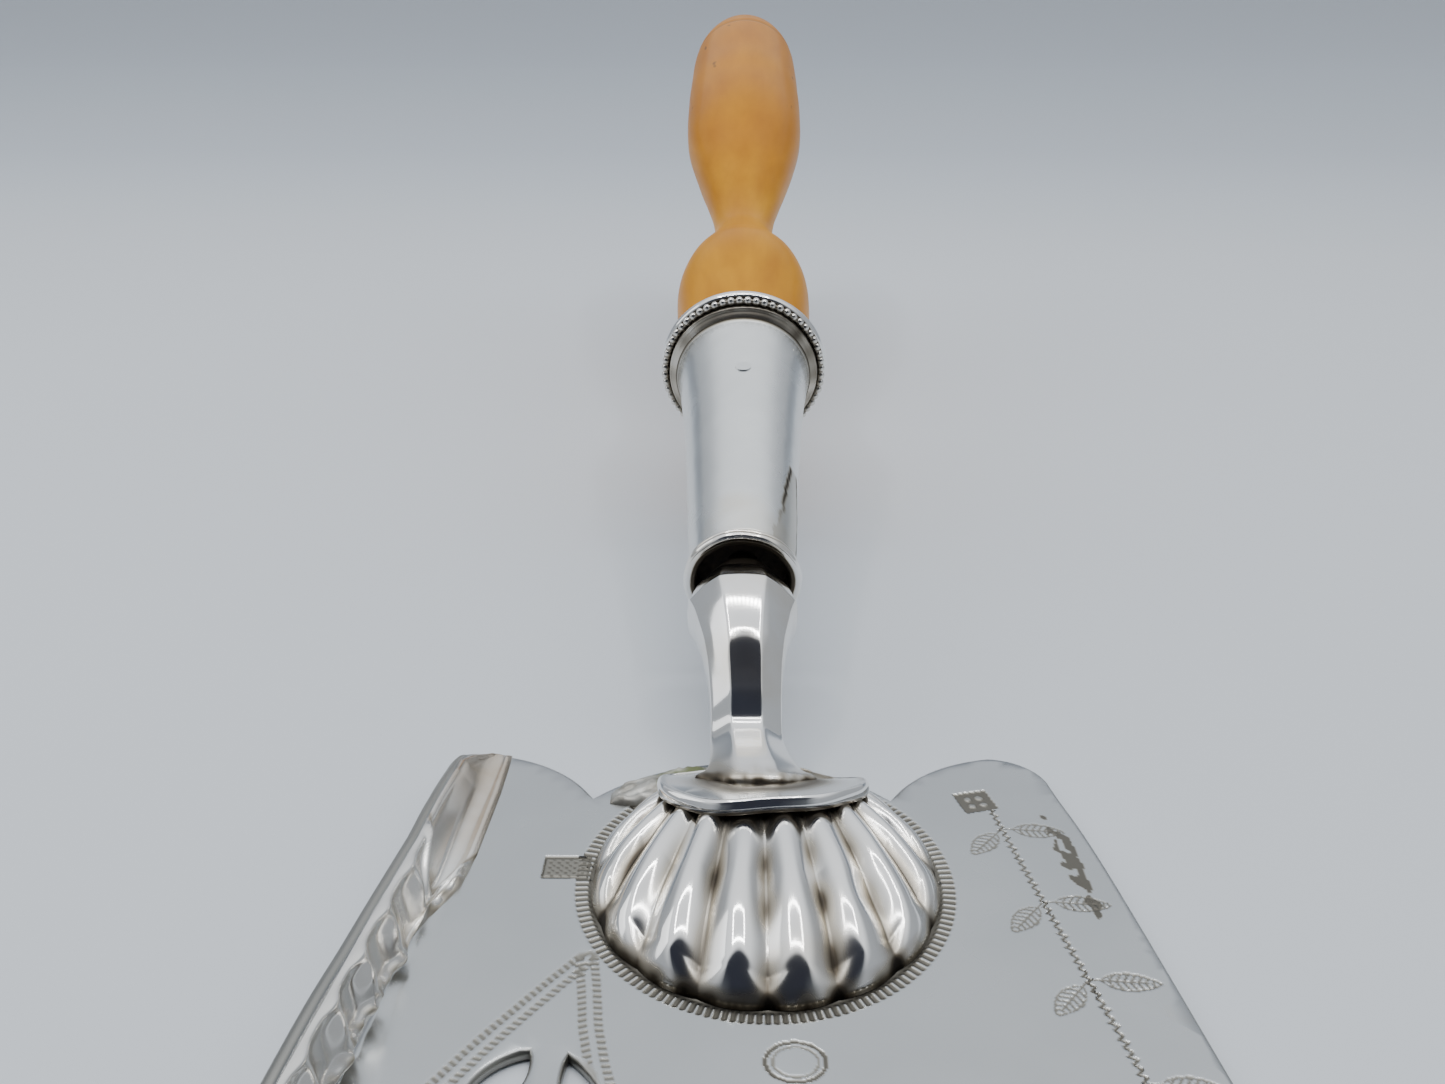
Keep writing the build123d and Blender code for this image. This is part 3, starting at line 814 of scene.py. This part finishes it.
def border_relief(y, d, low, high):
    """Height of the border above the sheet, and its tarnish and dirt with a painted dark reflection and
    painted shade, at distance d from the fold.
    """
    span = np.clip((d - low) / (high - low), 0, 1)
    ridge = bell(d - low, 0.45, 0.38)
    rim = bell(high - d, 0.3, 0.4)

    closing = TROUGH_END + 5.0 * ((d - 2.0) / 3.3) ** 2
    past = closing - y
    roll = bell(past, -0.1, 0.75)
    trough = 0.12 + 0.22 * ridge + 0.1 * rim

    phase = (y - 0.35 * (d - low) + 0.6) / RIB_PITCH
    crest = (0.5 + 0.5 * np.cos(2 * pi * phase)) ** 1.8
    belly = np.sin(np.pi * np.clip(span * 0.94 + 0.06, 0, 1)) ** 0.6
    uneven = 1 + 0.2 * noise2(y, d, 7.0, 12)
    chatter = noise2(y * 1.5, d * 1.5, 1.7, 11)
    ledge = bell(d - low, 0.55, 0.5)
    ribs = 0.2 + 0.85 * crest * belly * uneven + 0.2 * rim + ledge * (0.4 + 0.13 * chatter)

    blend = np.clip((past - 0.2) / 1.8, 0, 1)
    blend = blend * blend * (3 - 2 * blend)
    height = trough * (1 - blend) + ribs * blend + 0.6 * roll * np.clip((9.0 - y) / 4.0, 0, 1)
    hollow = (1 - crest) ** 2 * belly * (0.5 + 0.5 * np.cos(2 * pi * (phase - 0.12)))
    dirt_and_shade = blend * (0.3 * hollow + 0.3 * ledge * (0.6 + chatter))
    # painted dark reflection inside the trough, just before its closed end
    dirt_and_shade += 0.45 * bell(past, -1.3, 0.5) * (y < 7)
    # painted shade: a dark line along the strip's lower edge, in the crease against the sheet
    return height, np.clip(dirt_and_shade + 0.25 * bell(d, low, 0.2), 0, 1)


def build_border(material):
    """Stamped strip inside the raised side: smooth heel trough, then a row of gadroons."""
    ys = np.concatenate([np.arange(BORDER_START, -12.0, -0.13), np.arange(-12.0, WALL_END - 3, -0.2)])
    cols = 48
    across = np.linspace(0, 1, cols)
    blend = np.clip((-ys - 4.2) / 2.0, 0, 1)
    low = -trough_inner(ys) * (1 - blend) + ledge_at(ys) * blend
    high = rim_distance(ys)
    d = low[:, None] + (high - low)[:, None] * across
    y = np.repeat(ys[:, None], cols, 1)
    height, dirt_and_shade = border_relief(y, d, low[:, None], high[:, None])
    edge = np.minimum(1, np.minimum(across, 1 - across) / 0.06)
    ends = np.minimum(1, np.minimum(np.arange(len(ys)), np.arange(len(ys))[::-1]) / 5)
    height = height * (edge ** 0.5) * (ends[:, None] ** 0.5)
    top = bend(fold_x(y) - d, y, BLADE_T + 0.02 + height).reshape(-1, 3)
    back = bend(fold_x(y) - d, y, np.full_like(y, BLADE_T - 0.12)).reshape(-1, 3)
    grime_and_shade = np.concatenate([dirt_and_shade.reshape(-1), np.zeros(dirt_and_shade.size)])
    return new_piece("side_border_strip", np.vstack([top, back]), slab_faces(len(ys), cols), material,
                     "side_border", grime_and_shade)


# ---- shell boss ----

GROOVE_TURNS = [0.0] + [s * (21.3 * k + 0.35 * k * k) for k in range(1, 8) for s in (1, -1)]
DENT = (9.3, -5.6)


def shell_height(x, y):
    """Height of the smooth dome, steep at its rim and flat on top."""
    rho = np.hypot((x - SHELL_X) / SHELL_RX, y / SHELL_RY)
    return SHELL_H * np.clip(1 - rho ** 2.6, 0, 1) ** 0.62


def build_shell(material):
    """Scallop of rounded lobes that fan out from an oval hub under the collar, hollow beneath."""
    turns = np.sort(np.array(GROOVE_TURNS))
    turns = np.concatenate([turns, [turns[0] + 360]])
    step = np.linspace(0, 1, 30, endpoint=False)
    phi = np.radians((turns[:-1, None] + step * np.diff(turns)[:, None]).ravel() - 90)
    lobe = np.tile(step, len(turns) - 1)
    rows = 90
    t = np.linspace(0.0, 1.0, rows) ** 0.8
    hub_x, hub_y = HUB[0] + HUB_RX * np.cos(phi), HUB[1] + HUB_RY * np.sin(phi)
    x = hub_x + t[:, None] * (SHELL_X + SHELL_RX * np.cos(phi) - hub_x)
    y = hub_y + t[:, None] * (SHELL_RY * np.sin(phi) - hub_y)
    groove = 1 - (0.5 - 0.5 * np.cos(2 * pi * lobe)) ** 0.55
    depth = 1.15 * np.clip(0.3 + 1.6 * t[:, None], 0.3, 1.0) * groove
    base = shell_height(x, y)
    rim_rho = np.hypot((x - SHELL_X) / SHELL_RX, y / SHELL_RY)
    scallop = 1 - 0.015 * groove * np.clip((t[:, None] - 0.6) / 0.4, 0, 1)
    x = SHELL_X + (x - SHELL_X) * scallop
    y = y * scallop
    keep = np.clip((1.0 - rim_rho) * 9, 0, 1)
    z = base - depth * keep
    dent = 0.55 * np.exp(-(((x - DENT[0]) / 1.5) ** 2 + ((y - DENT[1]) / 2.0) ** 2))
    bumps = 0.06 * noise2(x, y, 5.0, 3) * keep
    z = np.maximum(z - dent * keep + bumps, 0.0) + BLADE_T
    z[-1] = BLADE_T - 0.05
    grime_and_shade = np.clip(groove ** 1.6 * 0.85 * (0.65 + 0.5 * noise2(x, y, 7.0, 8)), 0, 1) * np.ones_like(z)
    foot = np.clip((rim_rho - 0.955) / 0.045, 0, 1)
    grime_and_shade = np.clip(grime_and_shade + 0.75 * foot * (0.5 * noise2(x, y, 3.0, 4) + 0.8), 0, 1)
    # painted shadow: a narrow dark band on the lobes just under the collar
    grime_and_shade = np.maximum(grime_and_shade, 0.5 * bell(t[:, None], 0, 0.06))
    cols = len(phi)
    outer = np.stack([x, y, z], -1)
    inner = outer * 0.93
    inner[..., 0] += SHELL_X * 0.07
    inner[..., 2] = np.maximum(outer[..., 2] - 0.75, BLADE_T - 0.05)
    verts = np.vstack([outer.reshape(-1, 3), inner[::-1].reshape(-1, 3)])
    shade = np.concatenate([grime_and_shade.reshape(-1), np.full(rows * cols, 0.4)])
    return new_piece("shell_boss_scallop", verts, tube_faces(2 * rows, cols), material, "shell_boss",
                     shade)


# ---- collar, heel plate and stem ----

def build_collar(material):
    """Thin oval collar with an uneven, hand-filed edge."""
    cols, profile = 180, []
    for f in np.linspace(0, 1, 14):
        profile.append((0.15 + 0.8 * f, 0.5 + 0.12 * cos(f * 2.2)))
    for turn in np.linspace(90, -90, 12):
        a = radians(turn)
        profile.append((0.955 + 0.045 * cos(a), 0.62 * sin(a) - 0.1))
    for f in np.linspace(1, 0, 10):
        profile.append((0.15 + 0.8 * f, -0.72))
    a = np.linspace(0, 2 * pi, cols, endpoint=False)
    wavy = 1 + 0.025 * np.sin(3 * a + 0.6) + 0.01 * np.sin(7 * a + 2)
    lift = 0.25 * np.sin(2 * a + 2.4) + 0.13 * np.sin(4 * a + 1.0) + 0.04 * np.sin(7 * a)
    tilt = radians(COLLAR_TILT)
    verts, grime_and_shade = [], []
    for r, h in profile:
        x = r * COLLAR_RX * wavy * np.cos(a)
        y = r * COLLAR_RY * wavy * np.sin(a)
        z = h + lift * r ** 2
        verts.append(np.stack([COLLAR_C[0] + x, COLLAR_C[1] + y * cos(tilt) + z * sin(tilt),
                               COLLAR_C[2] - y * sin(tilt) + z * cos(tilt)], -1))
        # painted shade: the collar's underside is darkened; the darkening round the stem's foot is real dirt
        under = 0.8 if h < -0.5 else 0.0
        near_stem = exp(-((r - 0.5) / 0.17) ** 2) if h > 0.3 else 0
        grime_and_shade.append(np.clip(np.full(cols, 0.9 * under + 0.75 * near_stem), 0, 1))
    return new_piece("foot_collar_disc", np.vstack(verts), ring_faces(len(profile), cols), material,
                     "foot_collar", np.concatenate(grime_and_shade))


def build_heel_plate(material):
    """Lumpy soldered crescent behind the shell."""
    rows, cols, half_width = 60, 30, 11.0
    x = np.repeat(np.linspace(-half_width, half_width, rows)[:, None], cols, 1)
    f = np.linspace(0, 1, cols)
    back = 11.3 + (HEEL_LOBE - 0.7 - 11.3) * (1 - (x / 11.6) ** 2) ** 0.9
    front = np.minimum(9.36 + 1.04 * (x / half_width) ** 2, back - 0.6)
    y = front + f * (back - front)
    ends = np.minimum(1.0, (half_width - abs(x)) / 1.2 + 0.02) ** 0.6
    edge = np.minimum(1.0, np.minimum(f, 1 - f) * 6) ** 0.6 * ends
    lump = 0.22 * noise2(x, y, 2.6, 21) + 0.10 * noise2(x, y, 0.9, 22)
    height = np.maximum(0.02, (0.75 + 0.5 * (1 - f) * (1 - (x / half_width) ** 2) + lump) * edge)
    top = np.stack([x, y, BLADE_T + height], -1).reshape(-1, 3)
    low = np.stack([x, y, np.full_like(x, BLADE_T - 0.1)], -1).reshape(-1, 3)
    return new_piece("heel_plate_solder", np.vstack([top, low]), slab_faces(rows, cols), material,
                     "heel_plate")


def stem_stations():
    """Centre, elevation and half widths of each eight-sided section from the collar to the ferrule."""
    foot_z = COLLAR_C[2] - (9.2 - COLLAR_C[1]) * tan(radians(COLLAR_TILT)) + 0.45
    rows = [(1.15, 9.0, foot_z - 0.25, 90 - COLLAR_TILT, 5.2, 3.6),
            (1.1, 9.15, foot_z + 0.25, 80 - COLLAR_TILT, 4.75, 3.2),
            (0.95, 10.6, 4.3, 45, 3.7, 2.9)]
    for s, half_x, half_y, over in STEM_SECTIONS:
        _, y, z = axis_points(s, 0, over)
        sway = 0.45 * max(0.0, 1 - (s - 6.7) / 14)
        rows.append((sway, y, z, degrees(RISE), half_x, half_y))
    return np.array(rows, float)


def octagon_ring(half_x, half_y, pillow):
    """Eight-sided section with tight rounded corners and faces that swell by pillow."""
    corner = 0.07
    k = tan(radians(22.5))
    corners = np.array([(1, -k), (1, k), (k, 1), (-k, 1), (-1, k), (-1, -k), (-k, -1), (k, -1)])
    corners = corners * (half_x, half_y)
    points = []
    for i in range(8):
        a, b, c = corners[i - 1], corners[i], corners[(i + 1) % 8]
        before = b + (a - b) * corner
        after = b + (c - b) * corner
        for f in (0.0, 0.5, 1.0):
            points.append((1 - f) ** 2 * before + 2 * f * (1 - f) * b + f * f * after)
        stop = c + (b - c) * corner
        outward = np.array((c[1] - b[1], b[0] - c[0])) / np.linalg.norm(c - b)
        for f in np.linspace(0, 1, 9)[1:-1]:
            points.append(after + (stop - after) * f + outward * pillow * 4 * f * (1 - f))
    return np.array(points)


def stem_path():
    """Dense sections of the stem, with its chamfered head and the neck that enters the ferrule."""
    path = list(smooth_path(stem_stations(), 12))
    last = path[-1]
    edge_s, _, _, edge_over = STEM_SECTIONS[-1]
    head = [(edge_s + 0.15, last[4] - 0.01), (edge_s + 0.3, last[4] - 0.06)]
    head += [(s, np.interp(s, (edge_s + 0.3, STEM_CHAMFER_S), (last[4] - 0.06, STEM_CHAMFER_R)))
             for s in np.linspace(edge_s + 0.6, STEM_CHAMFER_S, 6)]
    for step, apothem in ((0.12, STEM_CHAMFER_R - 0.1), (0.16, STEM_CHAMFER_R - 0.25),
                          (0.2, STEM_NECK_R + 0.1), (0.3, STEM_NECK_R)):
        head.append((STEM_CHAMFER_S + step, apothem))
    head.append((STEM_END_S, STEM_NECK_R))
    for s, apothem in head:
        _, y, z = axis_points(s, 0, np.interp(s, (edge_s, STEM_CHAMFER_S), (edge_over, 0.0)))
        path.append(np.array((last[0], y, z, last[3], apothem, apothem)))
    return np.array(path)


def build_stem(material):
    """Eight-sided waisted baluster with crisp facets and a chamfered head in front of the ferrule's mouth."""
    path = stem_path()
    verts, grime_and_shade = [], []
    for k, (x, y, z, elevation, half_x, half_y) in enumerate(path):
        a = radians(elevation)
        ring = octagon_ring(half_x, half_y, 0.13 * float(np.clip((y - 19.0) / 3.0, 0, 1)))
        verts.append(ring @ ((1, 0, 0), (0, -sin(a), cos(a))) + (x, y, z))
        foot = exp(-(k / 13.0) ** 2)
        crumbs = 0.5 * noise2(ring[:, 0] * 3, ring[:, 1] * 3 + k * 0.4, 5.0, 61)
        # painted shade: the stem's left side is darkened along its middle
        left_painted_shade = np.clip(-(ring[:, 0] + 1.0) / 2.0, 0, 1) * exp(-((k - 16) / 14.0) ** 2) * 0.45
        # painted shade: the neck inside the ferrule's mouth is darkened
        neck = 0.9 if k > len(path) - 5 else 0.0
        grime_and_shade.append(np.clip(foot * (0.95 + crumbs) + left_painted_shade + neck, 0, 1))
    piece = new_piece("stem_baluster", np.vstack(verts), tube_faces(len(path), len(ring)), material, "stem",
                      np.concatenate(grime_and_shade))
    piece.data.set_sharp_from_angle(angle=radians(40))
    return piece


# ---- handle ----

def painted_reflection_marks(s, a):
    """Painted dark reflection beside the mouth, on the right, with a jagged black outline."""
    turn = np.degrees(pi / 2 - a)
    jag = 2.2 * noise2(s, s * 0.7, 2.6, 71)
    left_edge = 34 + 23 * np.clip((s - 29.5) / 12.5, 0, 1) ** 0.7 + jag
    right_edge = 80 - 9 * np.clip((s - 36) / 6.0, 0, 1) + 0.5 * jag
    reach = (s > 28.2) & (s < 42.0)
    line_a = bell(turn, left_edge, 2.3) * np.clip((s - 30.5) / 6, 0, 1)
    line_b = bell(turn, right_edge, 1.5)
    inside_patch = (turn > left_edge) & (turn < right_edge)
    return np.where(reach, np.clip(line_a + line_b + 0.2 * inside_patch, 0, 1), 0.0)


def build_ferrule(material):
    """Tapered tube, open at the front, with a faint dimple over its pin, a painted dark reflection by the
    mouth, and painted shade inside and at both ends.
    """
    outer = smooth_path(FERRULE_PROFILE, 16)
    inner = outer[::-1] - (0, FERRULE_T)
    profile = np.vstack([outer, inner])

    def dimple(s, a):
        across = (a - pi / 2) * 6.8
        pit = -0.045 * np.exp(-(((s - 57.3) / 1.1) ** 2 + (across / 1.3) ** 2))
        dents = 0.02 * noise2(s, a * 6.0, 11.0, 31) + 0.008 * noise2(s, a * 6.0, 3.5, 32)
        return pit + 0.03 * np.sin(2 * a + 0.4) + dents

    verts, faces, s, a = lathe(profile, 240, dimple)
    inside_row = (np.arange(len(profile)) >= len(outer))[:, None]
    # painted shade at both ends of the tube, under the cup and against the lip band
    ends = 0.9 * bell(s, 66.4, 0.35) + 0.4 * bell(s, 28.0, 0.25)
    # painted dark reflection beside the mouth, with its black outline
    dirt_and_shade = ends + painted_reflection_marks(s, a)
    # painted shade: the whole inner wall of the tube is darkened
    grime_and_shade = np.where(inside_row, 0.72, np.clip(dirt_and_shade, 0, 1))
    return new_piece("ferrule_tube", verts, faces, material, "ferrule", grime_and_shade)


def build_lip(material):
    """Double-rolled band round the mouth of the ferrule."""
    rolls = ((0, 4.62), (0.02, 5.45), (0.18, 5.66), (0.45, 5.75), (0.68, 5.66), (0.8, 5.48), (0.92, 5.58),
             (1.15, 5.62), (1.4, 5.5), (1.55, 5.25), (1.55, 4.55), (0.8, 4.52), (0, 4.62))
    dense = smooth_path([(LIP_S + step, r) for step, r in rolls], 5)[:-1]
    verts, faces, s, _ = lathe(dense, 128, lambda s, a: 0.035 * np.sin(3 * a + 1) + 0.02 * np.sin(8 * a))
    # the crease between the two rolls is darkened; the inner face, inside the mouth, is darkened as painted
    # shade
    groove = 0.8 * bell(s - LIP_S, 0.8, 0.1) + 0.8 * (dense[:, 1] < 5.0)[:, None]
    return new_piece("ferrule_lip_band", verts, faces, material, "ferrule_lip",
                     np.clip(groove, 0, 1))


def build_cup(material):
    """Dished washer between the ferrule and the beads, darkened all over with streaky painted shade."""
    outer = ((66.55, 6.7), (66.5, 7.6), (66.75, 8.1), (67.1, 8.45), (67.15, 8.7), (67.4, 8.85), (68.5, 8.85),
             (68.58, 8.0), (68.58, 6.7))
    dense = smooth_path(outer, 6)
    verts, faces, _, a = lathe(dense, 128, lambda s, a: 0.03 * np.sin(5 * a + 2))
    # painted shade: the whole washer is darkened, in streaks, as the shadow between the ferrule and the ring
    streaky_shade = 0.5 + 0.2 * noise2(np.cos(a) * 9, np.sin(a) * 9, 4.0, 81)
    return new_piece("cup_ring_washer", verts, faces, material, "cup_ring",
                     np.clip(streaky_shade, 0, 1))


def build_beads(material):
    """Row of slightly uneven beads on a thin core wire."""
    work = bmesh.new()
    for i in range(BEADS):
        angle = 2 * pi * (i + 0.5) / BEADS
        radius = 0.47 * (1 + 0.06 * random.uniform(-1, 1))
        r = BEAD_RING_R - 0.02 + random.uniform(-0.03, 0.03)
        centre = axis_points(BEAD_S + random.uniform(-0.03, 0.03), r * cos(angle), r * sin(angle))
        made = bmesh.ops.create_icosphere(work, subdivisions=3, radius=radius)
        bmesh.ops.translate(work, verts=made["verts"], vec=Vector(centre))
    verts = [tuple(v.co) for v in work.verts]
    faces = [tuple(v.index for v in f.verts) for f in work.faces]
    centres = np.array(verts)
    work.free()
    n = np.array((0, cos(RISE), sin(RISE)))
    rel = centres - AXIS_START
    s = rel @ n
    radial = np.linalg.norm(rel - s[:, None] * n, axis=1)
    # painted shade: the beads darken towards their inner side, between each other and the wire
    hollow = 0.18 + 0.45 * np.clip((BEAD_RING_R + 0.1 - radial) / 0.4, 0, 1)
    wire = []
    for turn in np.linspace(0, 2 * pi, 10, endpoint=False):
        wire.append((BEAD_S + 0.3 * cos(turn), BEAD_RING_R - 0.1 + 0.3 * sin(turn)))
    wire_verts, wire_faces, _, _ = lathe(wire, 180)
    start = len(verts)
    faces += [tuple(i + start for i in f) for f in wire_faces]
    # painted shade: the core wire between the beads is darkened
    grime_and_shade = np.concatenate([hollow, np.full(len(wire_verts), 0.6)])
    return new_piece("bead_ring_wire", np.vstack([centres, wire_verts]), faces, material, "bead_ring",
                     grime_and_shade)


def build_band(material):
    """Smooth half-round band behind the beads."""
    profile = [(68.4, 6.7), (68.4, 9.3)]
    for turn in np.linspace(180, 0, 16):
        a = radians(turn)
        profile.append((69.08 + 0.68 * cos(a), 9.5 + 0.42 * sin(a)))
    profile += [(69.78, 8.9), (69.78, 6.7)]
    verts, faces, s, _ = lathe(profile, 160, lambda s, a: 0.03 * np.sin(4 * a))
    # painted shade on the faces that meet the beads and the grip
    return new_piece("back_band_ring", verts, faces, material, "back_band",
                     np.clip(0.8 * (s < 68.45) + 0.5 * (s > 69.7), 0, 1))


def build_grip(material):
    """Turned grip: bulb, neck and long swell with a turned line near its domed end."""
    dense = smooth_path([(GRIP_S + s, r) for s, r in GRIP_PROFILE], 12)
    line_s = GRIP_S + 112.0
    for row in dense:
        row[1] = max(0.0, row[1] - 0.22 * exp(-((row[0] - line_s) / 0.55) ** 2))
    fine = []
    for a, b in zip(dense, dense[1:]):
        steps = 6 if abs(a[0] - line_s) < 3 else 1
        for f in np.linspace(0, 1, steps, endpoint=False):
            s, r = a + (b - a) * f
            fine.append((s, r))
    tip = dense[-1][0]
    rows = [(GRIP_S - 5.0, 1.7), (GRIP_S - 5.0, 6.2), (GRIP_S - 0.05, 6.4), (GRIP_S - 0.02, 7.3)] + fine
    rows = rows + [(tip - 0.02, 0.3), (tip, 0.05)]

    def uneven(s, a):
        return 0.04 * np.sin(2 * a + s * 0.03) + 0.025 * noise2(s, a * 7, 18, 41)

    verts, faces, s, _ = lathe(rows, 144, uneven, closed=False)
    grime_and_shade = 0.8 * bell(s, GRIP_S, 0.9) + 0.35 * bell(s, line_s, 0.6)
    return new_piece("grip_turned", verts, faces, material, "grip", np.clip(grime_and_shade, 0, 1))


# ---- studio ----

def build_floor():
    """Pale table top that curves up far behind the slice, its colour darkening towards the back as painted
    shade.
    """
    material, tree = new_material("studio_paper")
    near = tree.ramp(tree.noise(6, 4), (0.3, (0.71, 0.745, 0.785)), (0.7, (0.735, 0.77, 0.81)))
    # painted shade: the paper darkens towards the back of the sweep
    far = tree.remap(tree.axes("Object")["Y"], 0.25, 0.46)
    tree.shade({"Base Color": tree.mix(far, near, (0.62, 0.67, 0.73)), "Roughness": 0.75})
    rows = [(y, 0.0) for y in np.linspace(-900, 900, 19)]
    for turn in np.linspace(0, 60, 12):
        a = radians(turn)
        rows.append((900 + 700 * sin(a), 700 - 700 * cos(a)))
    xs = np.linspace(-1500, 1500, 7)
    verts = [(x * MM, y * MM, z * MM) for y, z in rows for x in xs]
    mesh = bpy.data.meshes.new("studio_floor")
    mesh.from_pydata(verts, [], grid_faces(len(rows), len(xs), False))
    mesh.shade_smooth()
    mesh.materials.append(material)
    place("studio_floor", mesh)


def add_light(name, at, size, target, power, colour=(1, 1, 1)):
    light = bpy.data.lights.new(name, "AREA")
    light.shape = "RECTANGLE"
    light.size, light.size_y = size
    light.energy = power
    light.color = colour
    lamp = place(name, light)
    lamp.location = at
    lamp.rotation_euler = (Vector(target) - Vector(at)).to_track_quat("-Z", "Y").to_euler()


def build_world():
    """Grey tent: pale above, darker at its sides, with a dark opening at the front."""
    world = bpy.data.worlds.new("studio")
    bpy.context.scene.world = world
    tree = Tree(world)
    x, y, z = tree.axes("Generated")
    sideways = tree.math("ABSOLUTE", x)
    sky = tree.ramp(tree.remap(z, -0.1, 0.9), (0.0, (0.40, 0.425, 0.46)),
                    (0.52, (0.45, 0.475, 0.515)), (0.74, (0.60, 0.63, 0.665)), (1.0, (0.66, 0.685, 0.72)))
    behind = tree.remap(y, -0.26, -0.19, 1.0, 0.0)
    opening = tree.math("MULTIPLY", behind, tree.remap(sideways, 0.62, 0.78, 1.0, 0.0))
    tent = tree.mix(opening, sky, (0.018, 0.02, 0.028))
    low = tree.remap(z, 0.45, 0.75, 0.62, 0.0)
    side = tree.math("MULTIPLY", tree.remap(sideways, 0.35, 0.7), low)
    dimmed = tree.mix(side, tent, (0.10, 0.11, 0.12))
    tree.put(tree.nodes["Background"], {"Color": dimmed, "Strength": 1.85})


def build_camera():
    data = bpy.data.cameras.new("camera")
    data.sensor_width = 36.0
    data.lens = 36.0 * FOCAL_PIXELS / IMAGE_W
    data.clip_start = 0.005
    data.clip_end = 20.0
    camera = place("camera", data)
    camera.location = [v * MM for v in CAMERA_AT]
    camera.rotation_euler = (radians(90 - CAMERA_PITCH), 0, radians(-CAMERA_YAW))
    bpy.context.scene.camera = camera


def build_light_frame():
    """Rectangular frame of small lamps above the slice, the studio's ring light."""
    half_x = 0.21
    back, front, height = -0.06, 0.14, 0.5
    spots = [(x, y) for y in (back, front) for x in np.linspace(-half_x, half_x, 13)]
    spots += [(x, y) for x in (-half_x, half_x) for y in np.linspace(back, front, 8)[1:-1]]
    for i, (x, y) in enumerate(spots):
        add_light(f"frame_lamp_{i}", (x, y, height), (0.024, 0.016), (x, y, 0), 0.036, (0.98, 0.99, 1.0))


build_camera()
build_floor()
build_world()
build_light_frame()
add_light("left_panel", (-0.7, 0.15, 0.4), (0.4, 0.4), (0, 0, 0.02), 0.7, (0.96, 0.98, 1.0))

# clean colour, roughness, scratch strength, tarnish colour, noise levels between which it spreads
SATIN = silver("satin_silver_blade", (0.49, 0.505, 0.51), (0.18, 0.3), 0.1, (0.5, 0.46, 0.38), (0.66, 0.8))
POLISHED = silver("polished_silver_boss", (0.9, 0.89, 0.87), (0.05, 0.14), 0.06, (0.72, 0.62, 0.46),
                  (0.62, 0.8))
WORN = silver("worn_silver_border", (0.82, 0.8, 0.76), (0.13, 0.26), 0.1, (0.55, 0.45, 0.34), (0.5, 0.7))
TUBE = silver("polished_silver_tube", (0.8, 0.81, 0.8), (0.2, 0.3), 0.14, (0.7, 0.64, 0.52), (0.66, 0.82))
WOOD = boxwood()
SOLDER = solder()
CEMENT = rough_earth("cutlers_cement", (0.012, 0.009, 0.006), (0.06, 0.04, 0.024), 900, 0.8, 0.0)
IRON = rough_earth("tang_iron", (0.05, 0.035, 0.025), (0.16, 0.13, 0.11), 700, 0.6, 0.8)

build_blade(SATIN)
build_border(WORN)
build_shell(POLISHED)
build_collar(POLISHED)
build_heel_plate(SOLDER)
build_stem(POLISHED)
build_ferrule(TUBE)
build_lip(POLISHED)
build_cup(POLISHED)
build_beads(POLISHED)
build_band(POLISHED)
build_grip(WOOD)

for node, material in (("tang", IRON), ("ferrule_filler", CEMENT), ("ferrule_pin", TUBE)):
    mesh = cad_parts[node].data
    mesh.materials.clear()
    mesh.materials.append(material)
